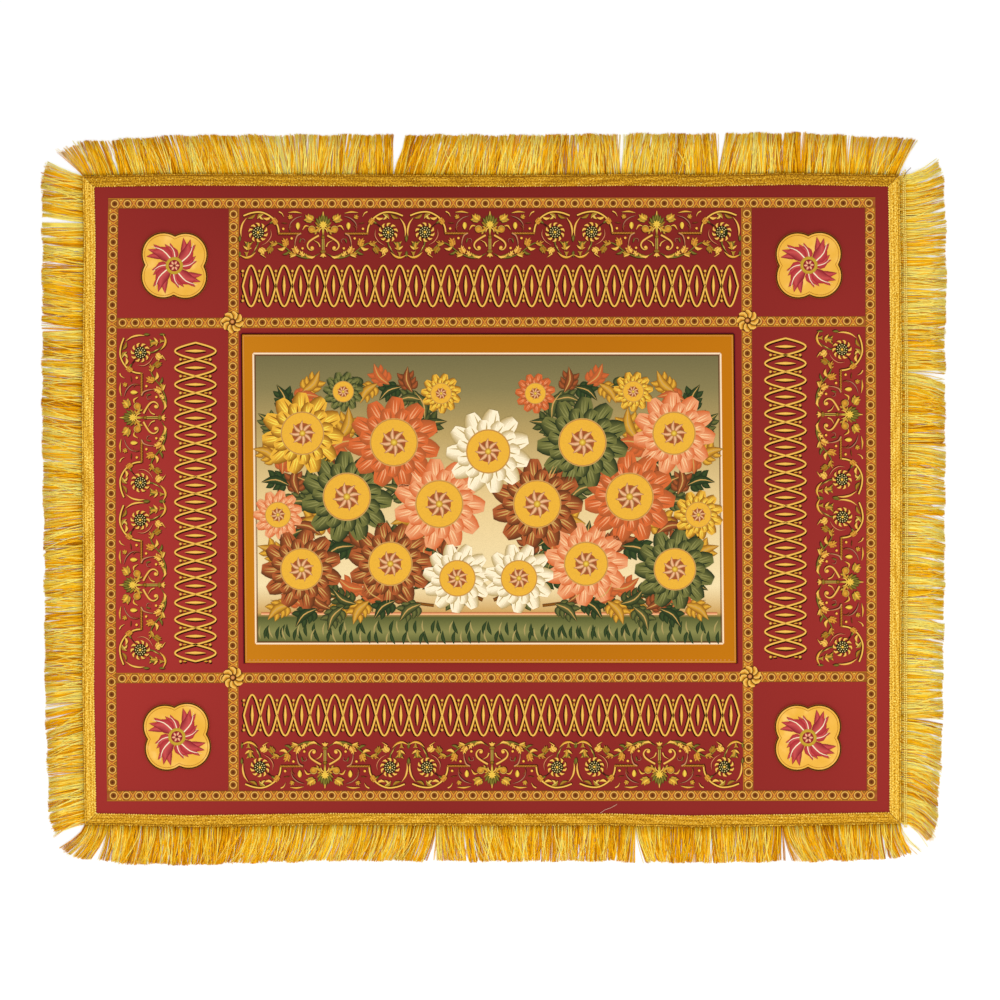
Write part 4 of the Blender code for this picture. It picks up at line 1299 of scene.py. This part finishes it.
def build_threads(name, edge, tone_shift, draws, material):
    """The loose threads of one fringe, lying in wisps along the locks of its solid.

    Every second strand is a lower one that follows its lock. The upper ones lie slantwise over them.
    """
    start, end = edge_ends(edge)
    start -= HEADING_WIDTH - MITRE_GAP
    end += HEADING_WIDTH - MITRE_GAP
    strands = edge["locks"] * STRANDS_PER_LOCK
    count = strands * STRAND_THREADS
    strand = np.repeat(np.arange(strands), STRAND_THREADS)
    upper = strand % 2 == 1

    # Roots, each in its lock
    pitch = (end - start) / edge["locks"]
    spread = (np.arange(strands) + draws.uniform(0.1, 0.9, strands)) / strands
    strand_root = (start + END_INSET + (end - start - 2 * END_INSET) * spread)[strand]
    aside = draws.uniform(-0.5, 0.5, count) * np.where(upper, STRAND_WIDTH, 1.5 * STRAND_WIDTH)
    root = np.clip(strand_root + aside, start + END_INSET, end - END_INSET)
    lock = np.minimum(np.floor((strand_root - start) / pitch).astype(int), edge["locks"] - 1)
    middle = start + (lock + 0.5) * pitch

    # Tips: how far strands lean and draw together, and where they end
    tip, drop = lock_tips(edge, root)
    stray = upper & (draws.random(strands) < STRAY_SHARE)[strand]
    slant = draws.choice((-STRAND_SLANT, STRAND_SLANT), strands) + draws.normal(0, SCATTER["slant"], strands)
    beside = np.min([np.abs(root - parting) for parting, _ in edge["partings"]], axis=0)
    slant = slant[strand] * (1 - 0.7 * np.exp(-beside / PARTING_EDGE)) * (1 + 1.2 * stray)
    tip += STRAND_LEAN * np.where(upper, slant, 0.05 * slant)
    clump = edge["clump"] * draws.uniform(0.1, 1.9, edge["locks"])[lock] * np.where(upper, 0.4, 1.0)
    tip += draws.normal(0, SCATTER["tip"], count) - 0.4 * aside * upper + clump * (middle - strand_root)
    drop += 1.0 - LENGTH_SCATTER * np.abs(np.sin(2.4 * lock + 0.7))
    drop -= (np.abs(draws.normal(0, SCATTER["strand_length"], strands))[strand]
             + np.abs(draws.normal(0, SCATTER["thread_length"], count)))
    drop *= 1 - 0.12 * stray * draws.random(count)

    # Height in the pile, curl, thickness and tone
    height = 0.45 * draws.random(strands)[strand] + 0.55 * upper
    height = np.clip(height + draws.normal(0, SCATTER["height"], count), 0, 1)
    curl = (draws.normal(0, SCATTER["strand_curl"], strands)[strand] * np.where(upper, 1.0, 0.15)
            + draws.normal(0, SCATTER["thread_curl"], count))
    phase = draws.uniform(0, 2 * math.pi, strands)[strand]
    radius = np.where(upper, THREAD_RADIUS["upper"], THREAD_RADIUS["lower"])
    radius = radius * draws.uniform(0.85, 1.15, count)
    # Tone rises with height in the pile: painted light on the upper strands, painted shade on the lower ones.
    # The side's tone shift is painted light as well; the rest is random tone.
    tone = 0.3 + 0.6 * height + tone_shift + 0.1 * stray
    tone += (draws.normal(0, SCATTER["strand_tone"], strands)[strand]
             + draws.normal(0, SCATTER["thread_tone"], count))
    tone += draws.normal(0, SCATTER["lock_tone"], edge["locks"])[lock]
    threads = {
        "root": root, "tip": tip, "drop": drop, "curl": curl, "phase": phase, "radius": radius, "tone": tone,
        "root_z": ROOT_HEIGHT[0] + ROOT_HEIGHT[1] * height,
        "tip_z": THREAD_RADIUS["lower"] + 0.06 + TIP_RISE * height,
        "taper": np.where(upper, 0.4, 0.15),
    }
    return show(name, tube_mesh(name, edge, threads), material)


def build_heading(name, edge, tone_shift, material):
    """The woven heading: a mitred band with a fine profile across its face."""
    start, end = edge_ends(edge)
    rows = round((end - start) / HEADING_STEP)
    columns = len(HEADING_PROFILE) - 1
    bm = bmesh.new()
    tone = bm.verts.layers.float.new("tone")
    bmesh.ops.create_grid(bm, x_segments=columns, y_segments=rows, size=1.0)
    upper = set(lift_faces(bm, 0.0))
    for vert in bm.verts:
        across = HEADING_PROFILE[round((vert.co.x + 1) / 2 * columns)]
        low, high = start - across["at"] + MITRE_GAP, end + across["at"] - MITRE_GAP
        at = low + (high - low) * (vert.co.y + 1) / 2
        vert[tone] = across["tone"] + tone_shift + 0.1 * math.sin(2.1 * at)
        vert.co = edge_points(edge, at, across["at"], SURFACE)
        if vert in upper:
            vert.co.z += across["rise"] + 0.06 * math.sin(2.1 * at + across["at"])
    piece = show(name, finish_mesh(name, bm, smooth=True), material)
    piece.data.set_sharp_from_angle(angle=math.radians(50))
    return piece


def build_stitches(name, edge, rows, tone_shift, draws, material):
    """The picot loops and rows of stitches that stand on the heading, as joined grains."""
    start, end = edge_ends(edge)
    bm = bmesh.new()
    bmesh.ops.create_uvsphere(bm, u_segments=5, v_segments=2, radius=1.0)
    grain, _, grain_faces = motif_arrays(bm)
    points, tones, faces, count = [], [], [], 0
    along, out = np.array([*edge["along"], 0.0]), np.array([*edge["out"], 0.0])
    for row in rows:
        low, high = start - row["at"] + 1.0, end + row["at"] - 1.0
        places = np.arange(low, high, row["pitch"])
        places = places + draws.normal(0, 0.12, len(places))
        centres = edge_points(edge, places, row["at"] + draws.normal(0, 0.08, len(places)),
                              SURFACE + row["rise"])
        slant = math.radians(row["slant"])
        half = row["half"]
        first = grain[:, 0] * half[0] * math.cos(slant) - grain[:, 1] * half[1] * math.sin(slant)
        second = grain[:, 0] * half[0] * math.sin(slant) + grain[:, 1] * half[1] * math.cos(slant)
        shape = first[:, None] * along + second[:, None] * out
        shape[:, 2] = grain[:, 2] * half[2]
        points.append((centres[:, None] + shape[None]).reshape(-1, 3))
        tone = row["tone"] + tone_shift + draws.normal(0, 0.16, len(places))
        tones.append(np.repeat(tone, len(grain)))
        offsets = count + np.arange(len(places))[:, None, None] * len(grain)
        faces.append((grain_faces[None] + offsets).reshape(-1, 3))
        count += len(places) * len(grain)
    faces = np.vstack(faces)
    if turned_over(edge):
        faces = faces[:, ::-1]
    mesh = array_mesh(name, np.vstack(points), faces.tolist(), "tone", np.concatenate(tones), "FLOAT")
    mesh.shade_smooth()
    return show(name, mesh, material)


def build_loose_thread(name, thread):
    """A snipped end of thread, as short rods end to end."""
    radius = thread["radius"]
    bm = bmesh.new()
    for start, end in zip(thread["path"], thread["path"][1:]):
        start, end = Vector(start), Vector(end)
        run = end - start
        place = Matrix.Translation((start + end) / 2) @ run.to_track_quat("Z", "Y").to_matrix().to_4x4()
        bmesh.ops.create_cone(bm, cap_ends=True, segments=6, radius1=radius, radius2=radius, depth=run.length,
                              matrix=place)
    mesh = finish_mesh(name, bm, smooth=True)
    return show(name, mesh, thread_material(name, thread["colour"], 0.7))


def build_stage():
    """A plain white floor, soft overhead light, and a little more of it from the reader's side."""
    bm = bmesh.new()
    bmesh.ops.create_grid(bm, x_segments=1, y_segments=1, size=FLOOR_HALF)
    bmesh.ops.translate(bm, vec=(0, 0, -FLOOR_DROP), verts=bm.verts)
    mesh = bpy.data.meshes.new("white_floor")
    bm.to_mesh(mesh)
    bm.free()
    paper, _, shader = new_material("white_paper_floor", 0.9)
    shader.inputs["Base Color"].default_value = (0.95, 0.95, 0.95, 1.0)
    mesh.materials.append(paper)
    floor = bpy.data.objects.new("white_floor", mesh)
    bpy.context.scene.collection.objects.link(floor)
    for name, place, size, power in LIGHTS:
        light = bpy.data.lights.new(name, "AREA")
        light.size = size
        light.energy = power
        lamp = bpy.data.objects.new(name, light)
        lamp.location = place
        lamp.rotation_euler = (-Vector(place)).to_track_quat("-Z", "Y").to_euler()
        bpy.context.scene.collection.objects.link(lamp)
    world = bpy.data.worlds.new("studio")
    world.use_nodes = True
    background = world.node_tree.nodes["Background"]
    background.inputs["Color"].default_value = (1.0, 1.0, 1.0, 1.0)
    background.inputs["Strength"].default_value = SKY_STRENGTH
    bpy.context.scene.world = world


def build_camera():
    """Straight above, from far enough that the edges stay square."""
    data = bpy.data.cameras.new("overhead_camera")
    data.sensor_width = SENSOR
    data.lens = SENSOR * CAMERA_HEIGHT / VIEW_WIDTH
    camera = bpy.data.objects.new("overhead_camera", data)
    camera.location = (*VIEW_CENTRE, CAMERA_HEIGHT)
    bpy.context.scene.collection.objects.link(camera)
    bpy.context.scene.camera = camera


def main():
    draws = np.random.default_rng(RANDOM_SEED)
    ink = ink_material()
    gabardine = gabardine_material()
    satin = medallion_material()
    ground = build_ground_cloth(gabardine)
    prints = build_prints(ink)
    panel = build_centre_panel(panel_material())
    panel_print = build_panel_print(ink)
    patch_motif = medallion_motif()
    outline = np.array(medallion_outline(24))
    for name, place in MEDALLIONS.items():
        patch = build_medallion(name, place, satin)
        row = (patch_motif, place["x"], place["y"], place["turn"], 1.0, 0.0)
        patch_print = lay(name + "_print", [row], medallion_top, ink)
    woven = lurex_material("gold_lurex_heading", 1.0, HEADING_GOLDS, 0.0)
    loose = lurex_material("gold_lurex_fringe", 0.1, FRINGE_GOLDS, 0.2)
    trims = []
    for name, edge in EDGES.items():
        tones = TRIM_TONES[name]
        heading = build_heading("heading_" + name, edge, tones["heading"], woven)
        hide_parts("fringe_" + name)
        rows = STITCH_ROWS + ROOT_ROWS.get(name, [])
        trims.append(heading)
        trims.append(build_stitches("heading_stitches_" + name, edge, rows, tones["heading"], draws, woven))
        trims.append(build_threads("fringe_threads_" + name, edge, tones["threads"], draws, loose))
    trims += [build_loose_thread(name, thread) for name, thread in LOOSE_THREADS.items()]
    build_stage()
    build_camera()


main()
bpy.context.scene.view_settings.view_transform = "Standard"
